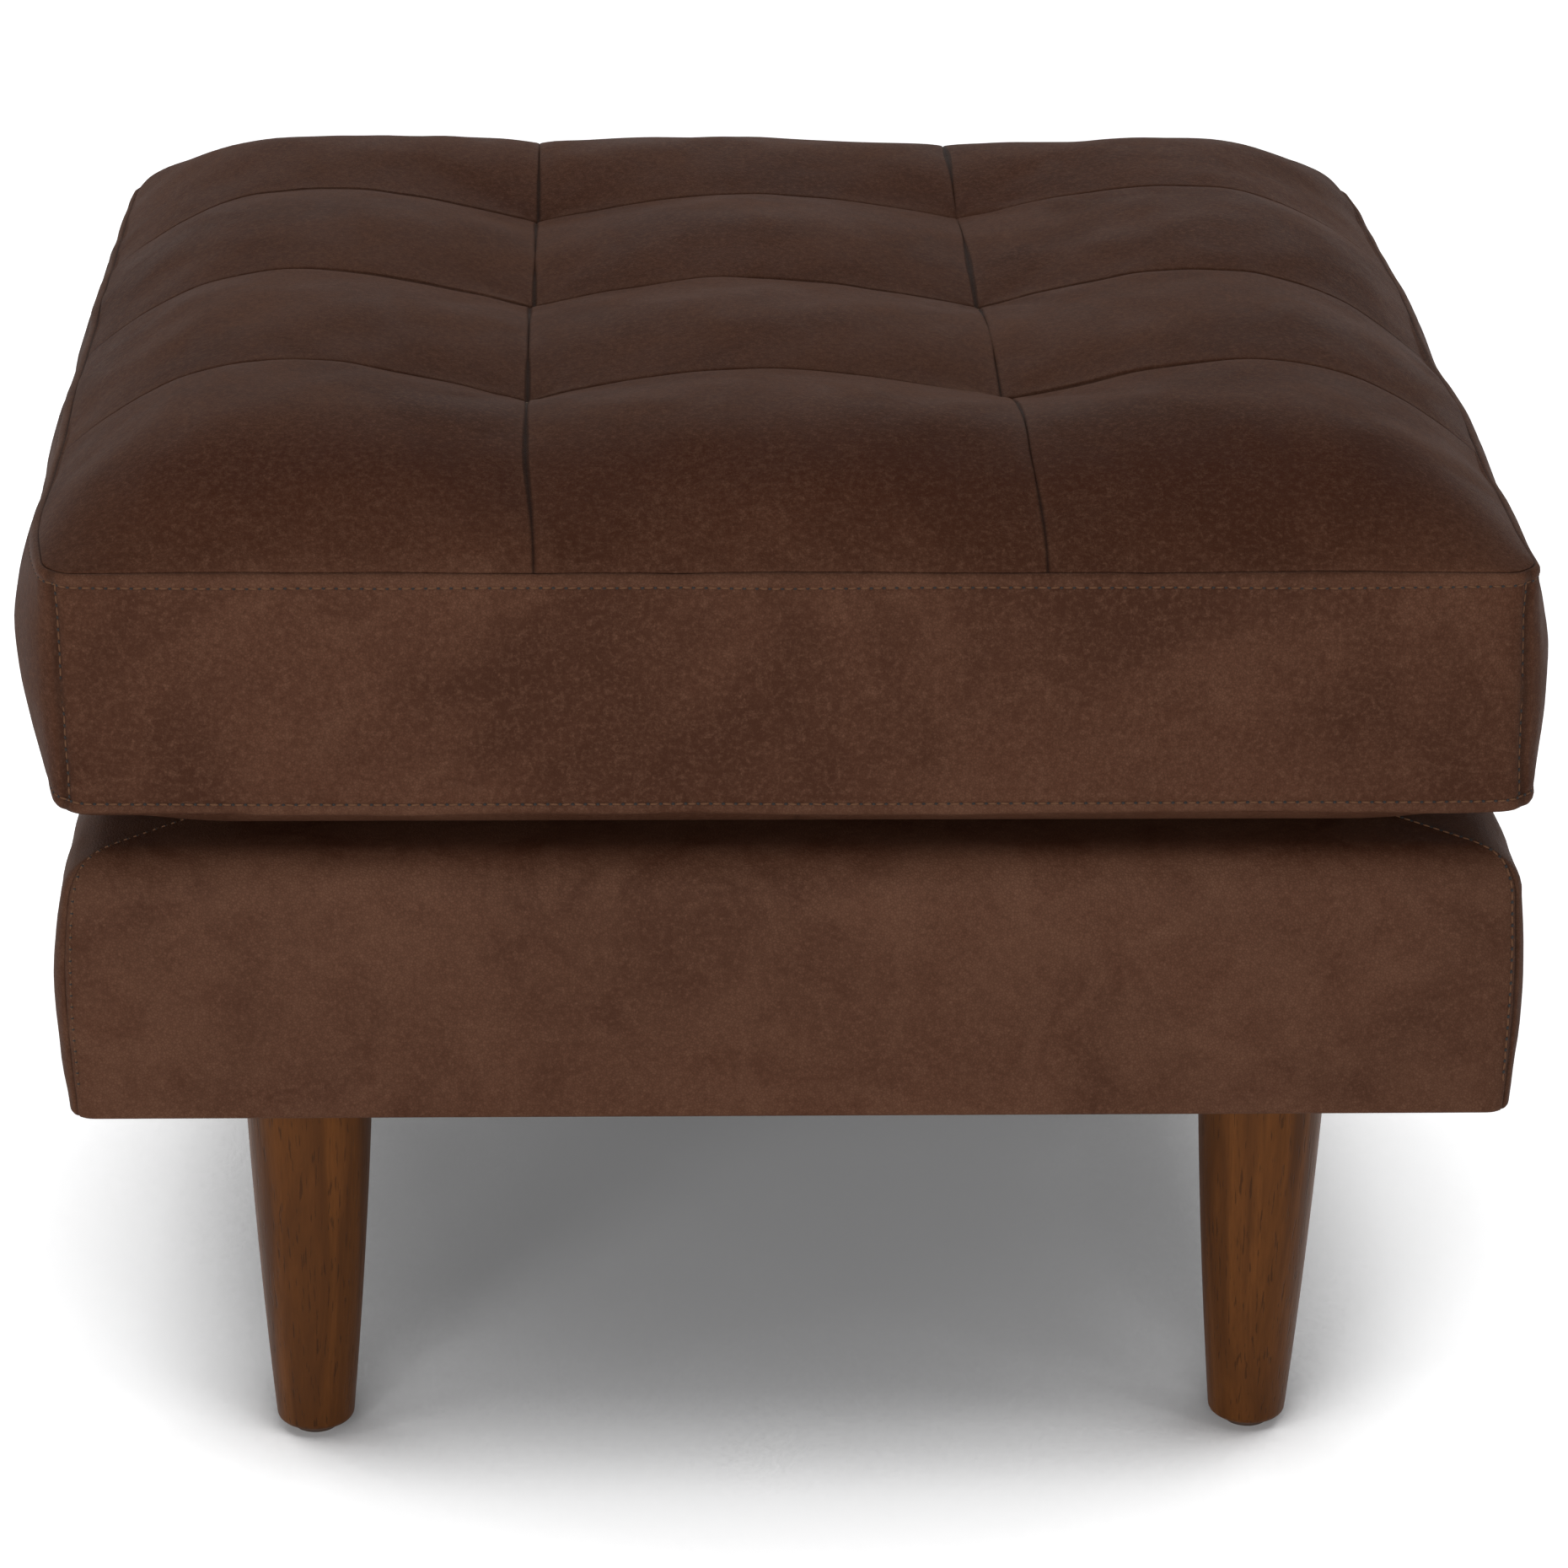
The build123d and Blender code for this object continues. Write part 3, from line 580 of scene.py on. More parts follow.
def add_node(tree, kind, inputs=None, **settings):
    """A node with its settings, and its inputs set to values or linked to other nodes' outputs."""
    node = tree.nodes.new(kind)
    for key, value in settings.items():
        setattr(node, key, value)
    for key, value in (inputs or {}).items():
        if isinstance(value, bpy.types.NodeSocket):
            tree.links.new(value, node.inputs[key])
        else:
            node.inputs[key].default_value = value
    return node


def output_of(tree, kind, inputs=None, output=0, **settings):
    """One output of a new node."""
    return add_node(tree, kind, inputs, **settings).outputs[output]


def maths(operation, first, second=0.0):
    """The output of one sum, of which at least one part is another node's output."""
    tree = (first if isinstance(first, bpy.types.NodeSocket) else second).id_data
    return output_of(tree, "ShaderNodeMath", {0: first, 1: second}, operation=operation)


times, plus, minus = (partial(maths, operation) for operation in ("MULTIPLY", "ADD", "SUBTRACT"))


def noise(vector, scale, detail, roughness, distortion=0.0):
    """The output of a noise pattern."""
    inputs = {"Vector": vector, "Scale": scale, "Detail": detail, "Roughness": roughness, "Distortion": distortion}
    return output_of(vector.id_data, "ShaderNodeTexNoise", inputs)


def remap(value, low, high, to_low=0.0, to_high=1.0):
    """A value spread from one range to another, and held within it."""
    inputs = {"Value": value, "From Min": low, "From Max": high, "To Min": to_low, "To Max": to_high}
    return output_of(value.id_data, "ShaderNodeMapRange", inputs, interpolation_type="SMOOTHSTEP")


def bump(height, strength, distance, under=None):
    """The normal that a height pattern gives, over another normal where one is given."""
    inputs = {"Height": height, "Strength": strength, "Distance": distance}
    if under is not None:
        inputs["Normal"] = under
    return output_of(height.id_data, "ShaderNodeBump", inputs)


def emptied(owner):
    """The node tree of a material or a world, without its first nodes."""
    owner.use_nodes = True
    owner.node_tree.nodes.clear()
    return owner.node_tree


def shaded(value, share):
    """A colour made darker."""
    return [share * part for part in value]


class Finish:
    """A material in the making, whose colour is painted over with further colours."""

    def __init__(self, name, value):
        self.name, self.material = name, bpy.data.materials.new(name)
        self.tree = emptied(self.material)
        self.colour = (*value, 1.0)

    def place(self, scale=(1, 1, 1), location=(0, 0, 0), rotation=(0, 0, 0)):
        """Object coordinates, stretched, moved and turned."""
        own = output_of(self.tree, "ShaderNodeTexCoord", output="Object")
        inputs = {"Vector": own, "Scale": scale, "Location": location, "Rotation": rotation}
        return output_of(self.tree, "ShaderNodeMapping", inputs)

    def paint(self, value, share):
        """Lays a share of another colour over the colour so far."""
        inputs = {0: share, 6: self.colour, 7: (*value, 1.0)}
        self.colour = output_of(self.tree, "ShaderNodeMix", inputs, 2, data_type="RGBA")

    def keep(self, roughness, normal, **constants):
        """Ends the material with its main shader; constants are set straight on its sockets."""
        inputs = {"Base Color": self.colour, "Roughness": roughness, "Normal": normal}
        inputs.update({key.replace("_", " "): value for key, value in constants.items()})
        shader = output_of(self.tree, "ShaderNodeBsdfPrincipled", inputs)
        add_node(self.tree, "ShaderNodeOutputMaterial", {0: shader})
        FINISHES[self.name] = self.material


def leather_finish(name, colours):
    """Waxed brown leather: clouded colour, pulled light patches, fine creases, pores and scuffs, with painted shade and
    painted light laid on by each piece's marks.
    """
    coat = Finish(name, colours.leather_dark)
    place = coat.place()
    cloud = noise(place, 7.5, 6.0, 0.62, 0.6)
    patch = noise(place, 26.0, 7.0, 0.68, 0.9)
    mottle = noise(place, 410.0, 6.0, 0.76, 0.2)
    grain = noise(place, 1500.0, 3.0, 0.6)
    inputs = {"Vector": place, "Scale": 780.0}
    cells = output_of(coat.tree, "ShaderNodeTexVoronoi", inputs, "Distance", feature="DISTANCE_TO_EDGE")
    creases = noise(coat.place((1, 1, 1.6)), 60.0, 8.0, 0.72, 2.6)
    crease_line = remap(maths("ABSOLUTE", minus(creases, 0.5)), 0.0, 0.018, 1.0, 0.0)
    scuffs = noise(coat.place((34, 34, 5), rotation=(0.2, 0.35, 0.4)), 1.0, 9.0, 0.78, 1.4)
    marks = ("wax", "wear", "seam")
    wax, wear, seam = (output_of(coat.tree, "ShaderNodeAttribute", None, "Fac", attribute_name=mark) for mark in marks)
    pulled = times(remap(patch, 0.46, 0.78), remap(cloud, 0.35, 0.7))
    scratch = times(crease_line, remap(patch, 0.42, 0.62))
    coats = [
        (colours.leather, remap(cloud, 0.34, 0.64)),
        (colours.leather_light, times(pulled, 0.6)),
        (colours.leather_light, remap(mottle, 0.44, 0.7, 0.0, 0.62)),
        (colours.leather_dark, remap(mottle, 0.3, 0.5, 0.62, 0.0)),
        # Painted shade from its mark, weaker where the mottle is light
        (colours.painted_shade_leather, times(wax, remap(mottle, 0.36, 0.66, 0.9, 0.25))),
        (colours.leather_light, times(scratch, 0.5)),
        (colours.leather_light, times(remap(scuffs, 0.62, 0.72), 0.35)),
        # Wear and painted light: rubbed seams, a painted highlight on the cushion's lip and the base's top edge, and
        # painted light over the whole base
        (colours.leather_light, times(wear, remap(patch, 0.3, 0.62, 0.12, 0.5))),
        (colours.leather_dark, times(remap(cells, 0.0, 0.22, 1.0, 0.0), 0.4)),
        (HOLE_COLOUR, times(seam, 0.82)),
    ]
    for value, share in coats:
        coat.paint(value, share)
    rough = minus(remap(patch, 0.3, 0.75, 0.58, 0.7), times(wear, 0.05))
    fine = bump(plus(remap(cells, 0.0, 0.3), times(grain, 0.55)), 0.32, 0.00035)
    lines = bump(minus(1.0, crease_line), 0.22, 0.0004, fine)
    coat.keep(rough, bump(mottle, 0.25, 0.0006, lines), Specular_IOR_Level=0.035)


def thread_finish(name, value):
    """Twisted thread."""
    coat = Finish(name, shaded(value, 0.55))
    inputs = {"Vector": coat.place(rotation=(0.6, 0.5, 0.7)), "Scale": 900.0}
    twist = output_of(coat.tree, "ShaderNodeTexWave", inputs, "Fac")
    coat.paint(value, remap(twist, 0.2, 0.9))
    coat.keep(0.75, bump(twist, 0.4, 0.0002), Specular_IOR_Level=0.1)


def wood_finish(name, dark, light, along, roughness, pore_share=0.5):
    """Wood with its grain along one axis: soft figure, fine fibres and short dark pores."""
    coat = Finish(name, dark)

    def grain_place(across, lengthwise, location=(0, 0, 0)):
        return coat.place([lengthwise if axis == along else across for axis in range(3)], location)

    figure = noise(grain_place(1.0, 0.07), 62.0, 6.0, 0.62, 0.8)
    fibres = noise(grain_place(8, 0.35), 120.0, 4.0, 0.7)
    pore = remap(noise(grain_place(1, 0.075, (0.31, 0.17, 0.4)), 900.0, 2.0, 0.5), 0.6, 0.68)
    coat.paint(light, remap(figure, 0.32, 0.7))
    coat.paint(dark, remap(fibres, 0.35, 0.75, 0.0, 0.45))
    coat.paint(shaded(dark, 0.2), times(pore, pore_share))
    rough = remap(fibres, 0.3, 0.8, roughness, roughness + 0.14)
    coat.keep(rough, bump(minus(times(fibres, 0.4), pore), 0.35, 0.0003), Specular_IOR_Level=0.1)


def cloth_finish(name, dark, light, threads):
    """Plain woven or matted cloth with crossing threads."""
    coat = Finish(name, dark)
    place = coat.place()
    warp, weft = (
        output_of(coat.tree, "ShaderNodeTexWave", {"Vector": place, "Scale": threads}, "Fac", bands_direction=axis)
        for axis in "XY"
    )
    share = plus(times(times(warp, weft), 0.6), times(noise(place, 240.0, 5.0, 0.7), 0.5))
    coat.paint(light, share)
    coat.keep(0.9, bump(share, 0.4, 0.0004), Sheen_Weight=0.15)


def fluffy_finish(name, dark, light, scale):
    """Loose fibre or cut foam."""
    coat = Finish(name, dark)
    cells = noise(coat.place(), scale, 8.0, 0.75, 0.5)
    coat.paint(light, remap(cells, 0.3, 0.7))
    coat.keep(0.95, bump(cells, 0.6, 0.002), Sheen_Weight=0.2)


def metal_finish(name, value, roughness):
    """Plated metal with faint marks."""
    coat = Finish(name, shaded(value, 0.75))
    marks = noise(coat.place((3, 1, 1)), 420.0, 5.0, 0.7)
    coat.paint(value, remap(marks, 0.3, 0.7))
    coat.keep(remap(marks, 0.2, 0.8, roughness, roughness + 0.18), bump(marks, 0.15, 0.0002), Metallic=1.0)


def plastic_finish(name, value, roughness):
    """Moulded plastic with a fine texture."""
    coat = Finish(name, shaded(value, 0.8))
    speckle = noise(coat.place(), 900.0, 4.0, 0.6)
    coat.paint(value, remap(speckle, 0.3, 0.7))
    coat.keep(remap(speckle, 0.2, 0.8, roughness, roughness + 0.1), bump(speckle, 0.2, 0.0002))


def make_finishes(colours):
    """Makes all finishes, named as the record names its slots."""
    leather_finish("brown_leather", colours)
    fluffy_finish("white_fibre", (0.62, 0.6, 0.56), (0.85, 0.84, 0.8), 180.0)
    fluffy_finish("seat_foam", (0.6, 0.5, 0.28), (0.78, 0.68, 0.42), 420.0)
    cloth_finish("black_cloth", (0.006, 0.006, 0.006), (0.022, 0.021, 0.021), 420.0)
    cloth_finish("zip_tape", (0.014, 0.008, 0.005), (0.035, 0.02, 0.013), 700.0)
    cloth_finish("seat_webbing", (0.02, 0.016, 0.012), (0.07, 0.055, 0.04), 500.0)
    thread_finish("tuft_twine", (0.55, 0.46, 0.3))
    thread_finish("seam_thread", colours.thread)
    plastic_finish("anchor_plastic", (0.03, 0.028, 0.026), 0.5)
    plastic_finish("zip_coil", (0.055, 0.033, 0.023), 0.3)
    plastic_finish("glide_plastic", colours.glide, 0.5)
    plastic_finish("needle_hole", HOLE_COLOUR, 0.8)
    metal_finish("zip_metal", (0.2, 0.15, 0.09), 0.34)
    metal_finish("zinc_steel", (0.62, 0.62, 0.6), 0.32)
    wood_finish("frame_wood", (0.36, 0.23, 0.11), (0.56, 0.38, 0.2), 0, 0.6, 0.2)
    wood_finish("leg_wood", colours.wood_dark, colours.wood, 2, 0.4)


def coat_piece(piece, name):
    """Gives a piece one finish alone."""
    piece.data.materials.clear()
    piece.data.materials.append(FINISHES[name])


def dress(piece, name, body, *replaced, slot=None):
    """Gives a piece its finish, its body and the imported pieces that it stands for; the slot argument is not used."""
    coat_piece(piece, name)
    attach(piece, body)
    if replaced:
        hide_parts(*replaced)


# Stitches, teeth and other repeats

SOCKET_KINDS = {float: "NodeSocketFloat", int: "NodeSocketInt", type(None): "NodeSocketMaterial"}
BEAD_SEED = 4


def new_group(name, values):
    """A node group for shapes with named values, the values' identifiers, and the group's inputs."""
    tree = bpy.data.node_groups.new(name, "GeometryNodeTree")
    tree.interface.new_socket("Geometry", in_out="INPUT", socket_type="NodeSocketGeometry")
    names = {}
    for label, value in values.items():
        socket = tree.interface.new_socket(label, in_out="INPUT", socket_type=SOCKET_KINDS[type(value)])
        if value is not None:
            socket.default_value = value
        names[label] = socket.identifier
    tree.interface.new_socket("Geometry", in_out="OUTPUT", socket_type="NodeSocketGeometry")
    return tree, names, add_node(tree, "NodeGroupInput").outputs


def close_group(tree, instances, material):
    """Ends a node group: real, smooth shapes with their material."""
    shape = output_of(tree, "GeometryNodeRealizeInstances", {"Geometry": instances})
    shape = output_of(tree, "GeometryNodeSetShadeSmooth", {"Geometry": shape})
    shape = output_of(tree, "GeometryNodeSetMaterial", {"Geometry": shape, "Material": material})
    add_node(tree, "NodeGroupOutput", {0: shape})


def bead_group():
    """A node group that sets long beads on every second point along lines."""
    values = {"Step": 0.0026, "Turn": 0, "Radius": 0.0004, "Half Length": 0.0018, "Slant": 0.1, "Seed": BEAD_SEED}
    tree, names, given = new_group("beads_along_lines", {**values, "Material": None})
    node = partial(output_of, tree)
    curve = node("GeometryNodeMeshToCurve", {"Mesh": given["Geometry"]})
    even = node("GeometryNodeResampleCurve", {"Curve": curve, "Length": given["Step"]}, mode="LENGTH")
    points = add_node(tree, "GeometryNodeCurveToPoints", {"Curve": even}, mode="EVALUATED").outputs
    parity = node("FunctionNodeIntegerMath", {0: node("GeometryNodeInputIndex"), 1: 2}, operation="MODULO")
    chosen = node("FunctionNodeCompare", {2: parity, 3: given["Turn"]}, data_type="INT", operation="EQUAL")
    size = node("ShaderNodeCombineXYZ", {"X": given["Radius"], "Y": given["Radius"], "Z": given["Half Length"]})
    inputs = {
        "Points": points["Points"],
        "Selection": chosen,
        "Instance": node("GeometryNodeMeshUVSphere", {"Segments": 6, "Rings": 5, "Radius": 1.0}),
        "Rotation": points["Rotation"],
        "Scale": size,
    }
    placed = node("GeometryNodeInstanceOnPoints", inputs)
    inputs = {0: (-1, -1, -1), 1: (1, 1, 1), "Seed": given["Seed"]}
    slant = node("FunctionNodeRandomValue", inputs, data_type="FLOAT_VECTOR")
    turn = node("ShaderNodeVectorMath", {0: slant, "Scale": given["Slant"]}, operation="SCALE")
    turned = node("GeometryNodeRotateInstances", {"Instances": placed, "Rotation": turn})
    close_group(tree, turned, given["Material"])
    return tree, names


def screw_group():
    """A node group that sets a countersunk screw at each point, along the point's own direction."""
    values = {"Length": 0.055, "Shank Radius": 0.002, "Head Radius": 0.004, "Head Depth": 0.0024, "Material": None}
    tree, names, given = new_group("screws_at_points", values)
    node = partial(output_of, tree)

    def raised(shape, height):
        lift = node("ShaderNodeCombineXYZ", {"Z": height})
        return node("GeometryNodeTransform", {"Geometry": shape, "Translation": lift})

    half = times(given["Length"], 0.5)
    shank = {"Vertices": 10, "Radius": given["Shank Radius"], "Depth": given["Length"]}
    head = {
        "Vertices": 16,
        "Radius Top": given["Head Radius"],
        "Radius Bottom": given["Shank Radius"],
        "Depth": given["Head Depth"],
    }
    screw = add_node(tree, "GeometryNodeJoinGeometry")
    tree.links.new(raised(node("GeometryNodeMeshCone", head), minus(half, given["Head Depth"])), screw.inputs[0])
    tree.links.new(node("GeometryNodeMeshCylinder", shank), screw.inputs[0])
    inward = raised(screw.outputs[0], times(half, -1.0))
    direction = node("GeometryNodeInputNamedAttribute", {"Name": "direction"}, data_type="FLOAT_VECTOR")
    turn = node("FunctionNodeAlignRotationToVector", {"Vector": direction}, axis="Z")
    inputs = {"Points": given["Geometry"], "Instance": inward, "Rotation": turn}
    close_group(tree, node("GeometryNodeInstanceOnPoints", inputs), given["Material"])
    return tree, names


def run_group(name, source, group, values):
    """Runs a node group on a source object and keeps the result as a plain mesh."""
    tree, names = group
    modifier = source.modifiers.new("repeat", "NODES")
    modifier.node_group = tree
    for key, value in values.items():
        modifier[names[key]] = value
    mesh = evaluated_mesh(source)
    mesh.name = name
    source.modifiers.remove(modifier)
    old = source.data
    bpy.data.objects.remove(source)
    bpy.data.meshes.remove(old)
    return link(name, mesh)


def beads(name, paths, material, step, radius, half_length, turn=0, slant=0.0):
    """Beads along lines, such as stitches, needle holes, zip teeth or staples."""
    points, edges = [], []
    for path in paths:
        edges += [(k, k + 1) for k in range(len(points), len(points) + len(path) - 1)]
        points += list(path)
    values = {"Step": step, "Turn": turn, "Radius": radius, "Half Length": half_length, "Slant": slant}
    values.update({"Seed": BEAD_SEED, "Material": FINISHES[material]})
    return run_group(name, add_mesh(name + "_lines", points, edges=edges), bead_group(), values)


def stitch_lines(name, body, lines, sizes):
    """Stitches along lines with a needle hole between each two; a line is its points and their normals."""
    over = [points + 0.00005 * normals for points, normals in lines]
    under = [points - 0.00015 * normals for points, normals in lines]
    step = sizes.pitch / 2
    sewn = beads(name, over, "seam_thread", step, sizes.thread, sizes.stitch / 2, 0, 0.1)
    dress(sewn, "seam_thread", body, slot="brown_leather")
    holes = beads(name + "_holes", under, "needle_hole", step, sizes.hole, sizes.hole, 1)
    dress(holes, "needle_hole", body, slot="brown_leather")


# Round pieces, rings and sheets

COARSE_RING = (np.linspace(0, 1, 26)[1:-1], np.linspace(0, 90, 7))
FINE_ENDS = [0.006, 0.014, 0.028, 0.05]
FINE_SHARES = [*FINE_ENDS, *np.linspace(0.05, 0.95, 46)[1:-1], *(1 - share for share in reversed(FINE_ENDS))]
FINE_TURNS = [0, 12, 22, 30, 36, 40, 43, 45, 47, 50, 54, 60, 68, 78, 90]
FINE_SIDE = len(FINE_TURNS) + len(FINE_SHARES)


def round_ring(centre, radius, count):
    """Points of a level circle."""
    x, y, z = centre
    angles = np.linspace(0, 2 * math.pi, count, endpoint=False)
    return [(x + radius * math.cos(angle), y + radius * math.sin(angle), z) for angle in angles]


def turned_piece(name, profile, centres, segments):
    """Closed round pieces turned from (radius, height) steps, one at each centre."""
    points, faces = [], []
    for x, y in centres:
        faces += capped_faces(numbered((len(profile), segments), len(points)))
        for radius, height in profile:
            points += round_ring((x, y, height), radius, segments)
    return add_mesh(name, points, faces)


def rounded_steps(radius, height, rounding, upward):
    """(radius, height) steps round an edge that ends at that radius and height."""
    turns = np.linspace(0, math.pi / 2, 6)
    if upward:
        return [(radius - rounding * (1 - math.sin(t)), height + rounding * (1 - math.cos(t))) for t in turns]
    return [(radius - rounding * (1 - math.cos(t)), height - rounding * (1 - math.sin(t))) for t in turns]


def plan_ring(half_x, half_y, radius, shares, turns):
    """Points and outward directions round a rounded oblong, always the same number."""

    def way(degrees):
        angle = math.radians(degrees)
        return np.array([math.cos(angle), math.sin(angle)])

    sides = ((1, -1), (1, 1), (-1, 1), (-1, -1))
    centres = [np.array([side_x * (half_x - radius), side_y * (half_y - radius)]) for side_x, side_y in sides]
    points, outward = [], []
    for number, centre in enumerate(centres):
        round_corner = [way(90 * number - 90 + turn) for turn in turns]
        straight, gap = way(90 * number), centres[(number + 1) % 4] - centre
        points += [centre + radius * direction for direction in round_corner]
        points += [centre + radius * straight + gap * share for share in shares]
        outward += round_corner + [straight] * len(shares)
    return np.array(points), np.array(outward)


def stack_rings(half_x, half_y, corner, steps, bulge_at, dent=0.0, least=0.002, ring_steps=COARSE_RING):
    """Rings of points, one for each step of an inset, a height and a share of the bulge."""
    rings = []
    for inset, height, share in steps:
        ring, outward = plan_ring(half_x - inset, half_y - inset, max(corner - inset, least), *ring_steps)
        ring = ring + outward * (bulge_at(ring, outward) * share - dent)[:, None]
        rings.append(np.column_stack([ring, np.full(len(ring), height)]))
    return np.array(rings)


def base_half_sizes(sizes):
    """Half width and half depth of the base without its bulge."""
    return SIDE_COVER_HIGH.x + sizes.widen - sizes.side_bulge, -FRONT_COVER_LOW.y - sizes.front_bulge


def base_bulge(sizes, ring, outward):
    """How far the base's sides stand out at mid height, at places round them."""
    side = outward[:, 0] ** 2
    full_side = sizes.side_bulge * (0.25 + 0.75 * fullness(ring[:, 1], base_half_sizes(sizes)[1]))
    return side * full_side + (1 - side) * sizes.front_bulge


def base_profile(sizes):
    """Steps round the leather's section, outside and inside: inset from the base's side, height, and bulge share."""
    hem, edge, border = sizes.hem_radius, sizes.edge_radius, sizes.border
    shoulder = BASE_TOP - edge
    wall = shoulder - HEM - hem
    outer = [(sizes.hem_return, HEM, 0.0), (hem + 0.004, HEM, 0.0)]
    for turn in np.linspace(0, math.pi / 2, 5):
        outer.append((hem * (1 - math.sin(turn)), HEM + hem * (1 - math.cos(turn)), 0.0))
    outer += [(0.0, HEM + hem + wall * share, arch(share)) for share in np.linspace(0, 1, 14)[1:-1]]
    for turn in np.linspace(0, math.pi / 2, 9):
        outer.append((edge * (1 - math.cos(turn)), shoulder + edge * math.sin(turn), 0.0))
    outer += [(inset, BASE_TOP, 0.0) for inset in (0.03, 0.045, 0.06, 0.072, border - 0.002)]
    outer.append((border, BASE_TOP - 0.0003, 0.0))
    inner_edge = edge - LEATHER
    inner = [(border, BASE_TOP - LEATHER, 0.0), (edge, BASE_TOP - LEATHER, 0.0)]
    for turn in np.linspace(math.pi / 2, 0, 5)[1:]:
        inner.append((LEATHER + inner_edge * (1 - math.cos(turn)), shoulder + inner_edge * math.sin(turn), 0.0))
    inner += [(LEATHER, HEM + hem + wall * share, arch(share)) for share in (0.75, 0.5, 0.25)]
    inner += [(LEATHER, HEM + 2 * hem, 0.0), (LEATHER + 0.002, HEM + LEATHER, 0.0)]
    inner.append((sizes.hem_return, HEM + LEATHER, 0.0))
    return outer, inner


def thin_sheet(name, half_x, half_y, low, high, sag, count=60):
    """A closed thin cloth with soft waves and a little sag between its fixed edges."""
    x, y = np.meshgrid(np.linspace(-half_x, half_x, count), np.linspace(-half_y, half_y, count))
    free = (1 - (x / half_x) ** 8) * (1 - (y / half_y) ** 8)
    points = np.stack([x, y, np.zeros_like(x)], axis=-1).reshape(-1, 3)
    points[:, 2] = (waves(points, 0.14, 21) * 0.15 - 1) * sag * free.ravel()
    return add_mesh(name, np.concatenate([points + [0, 0, high], points + [0, 0, low]]), case_faces(x.shape)[0])


def rounded_plates(name, parts, rounding):
    """Closed upright plates with rounded edges, each an outline of (x, z) between two depths."""
    points, faces = [], []
    for outline, near, far in parts:
        index = numbered((2, len(outline)), len(points))
        points += [(x, near, z) for x, z in outline] + [(x, far, z) for x, z in outline]
        turning = sum(a[0] * b[1] - b[0] * a[1] for a, b in zip(outline, outline[1:] + outline[:1]))
        ends = [index[0].tolist(), index[1, ::-1].tolist()]
        faces += grid_faces(closed_rings(index), turning > 0)
        faces += ends if turning > 0 else [end[::-1] for end in ends]
    piece = add_mesh(name, points, faces, smooth=False)
    modifier = piece.modifiers.new("rounded", "BEVEL")
    modifier.width, modifier.segments, modifier.limit_method = rounding, 3, "ANGLE"
    mesh = evaluated_mesh(piece)
    piece.modifiers.remove(modifier)
    piece.data = mesh
    mesh.shade_smooth()
    return piece


# Stage

FLOOR_COLOUR = (0.86, 0.86, 0.87, 1)
# Each lamp's name, place, aim and size
LAMPS = (
    ("top_light", (0.0, 1.1, 2.2), (0.0, 0.1, 0.2), (2.2, 1.5)),
    ("front_light", (-0.5, -2.7, 0.75), (0.0, 0.0, 0.28), (2.4, 1.2)),
    ("side_light", (2.4, -0.6, 1.2), (0.0, 0.0, 0.3), (1.4, 1.4)),
)
# The photograph's camera, fitted from the object's corners and seams
CAMERA_PLACE = (-0.089, -2.3577, 1.1462)
CAMERA_TURN = (68.525, -0.661, -2.045)
CAMERA_LENS, SENSOR_WIDTH = 125.1, 36.0


def seen_directly(tree):
    """1 where the camera, a reflection or glass looks, and 0 for light that bounces."""
    rays = add_node(tree, "ShaderNodeLightPath").outputs
    direct = maths("MAXIMUM", rays["Is Camera Ray"], rays["Is Glossy Ray"])
    return maths("MAXIMUM", direct, rays["Is Transmission Ray"])


class OTTOMAN_OT_stage(bpy.types.Operator):
    """White floor, soft studio lights and the photograph's camera"""

    bl_idname = "ottoman.stage"
    bl_label = "Stage"

    def execute(self, context):
        scene, stage = context.scene, context.scene.ottoman_stage
        half = stage.floor / 2
        corners = [(-half, -half, 0), (half, -half, 0), (half, half, 0), (-half, half, 0)]
        floor = add_mesh("floor", corners, [(0, 1, 2, 3)])
        material = bpy.data.materials.new("white_floor")
        tree = emptied(material)
        node = partial(output_of, tree)
        plain = node("ShaderNodeBsdfDiffuse", {"Color": FLOOR_COLOUR})
        # The glow that the camera sees fades near the object by ambient occlusion: a painted shadow, over the real
        # shadows on the diffuse floor
        around = node("ShaderNodeAmbientOcclusion", {"Distance": stage.shadow_reach}, "AO", samples=12)
        open_share = remap(around, stage.shadow_core, stage.shadow_edge)
        strength = times(times(seen_directly(tree), open_share), stage.floor_glow)
        glow = node("ShaderNodeEmission", {"Strength": strength})
        add_node(tree, "ShaderNodeOutputMaterial", {0: node("ShaderNodeAddShader", {0: plain, 1: glow})})
        floor.data.materials.append(material)

        scene.world = bpy.data.worlds.new("studio")
        tree = emptied(scene.world)
        inputs = {"Value": seen_directly(tree), "To Min": stage.world, "To Max": 1.0}
        strength = output_of(tree, "ShaderNodeMapRange", inputs)
        back = output_of(tree, "ShaderNodeBackground", {"Color": (1, 1, 1, 1), "Strength": strength})
        add_node(tree, "ShaderNodeOutputWorld", {0: back})

        for name, place, aim, size in LAMPS:
            lamp = bpy.data.lights.new(name, "AREA")
            lamp.shape, lamp.energy = "RECTANGLE", getattr(stage, name)
            lamp.size, lamp.size_y = size
            item = link(name, lamp)
            item.location = place
            item.rotation_euler = (Vector(aim) - Vector(place)).to_track_quat("-Z", "Y").to_euler()

        camera = bpy.data.cameras.new("camera")
        camera.lens, camera.sensor_width = CAMERA_LENS, SENSOR_WIDTH
        scene.camera = link("camera", camera)
        scene.camera.location = CAMERA_PLACE
        scene.camera.rotation_euler = [math.radians(angle) for angle in CAMERA_TURN]
        scene.view_settings.view_transform = "Standard"
        return {"FINISHED"}


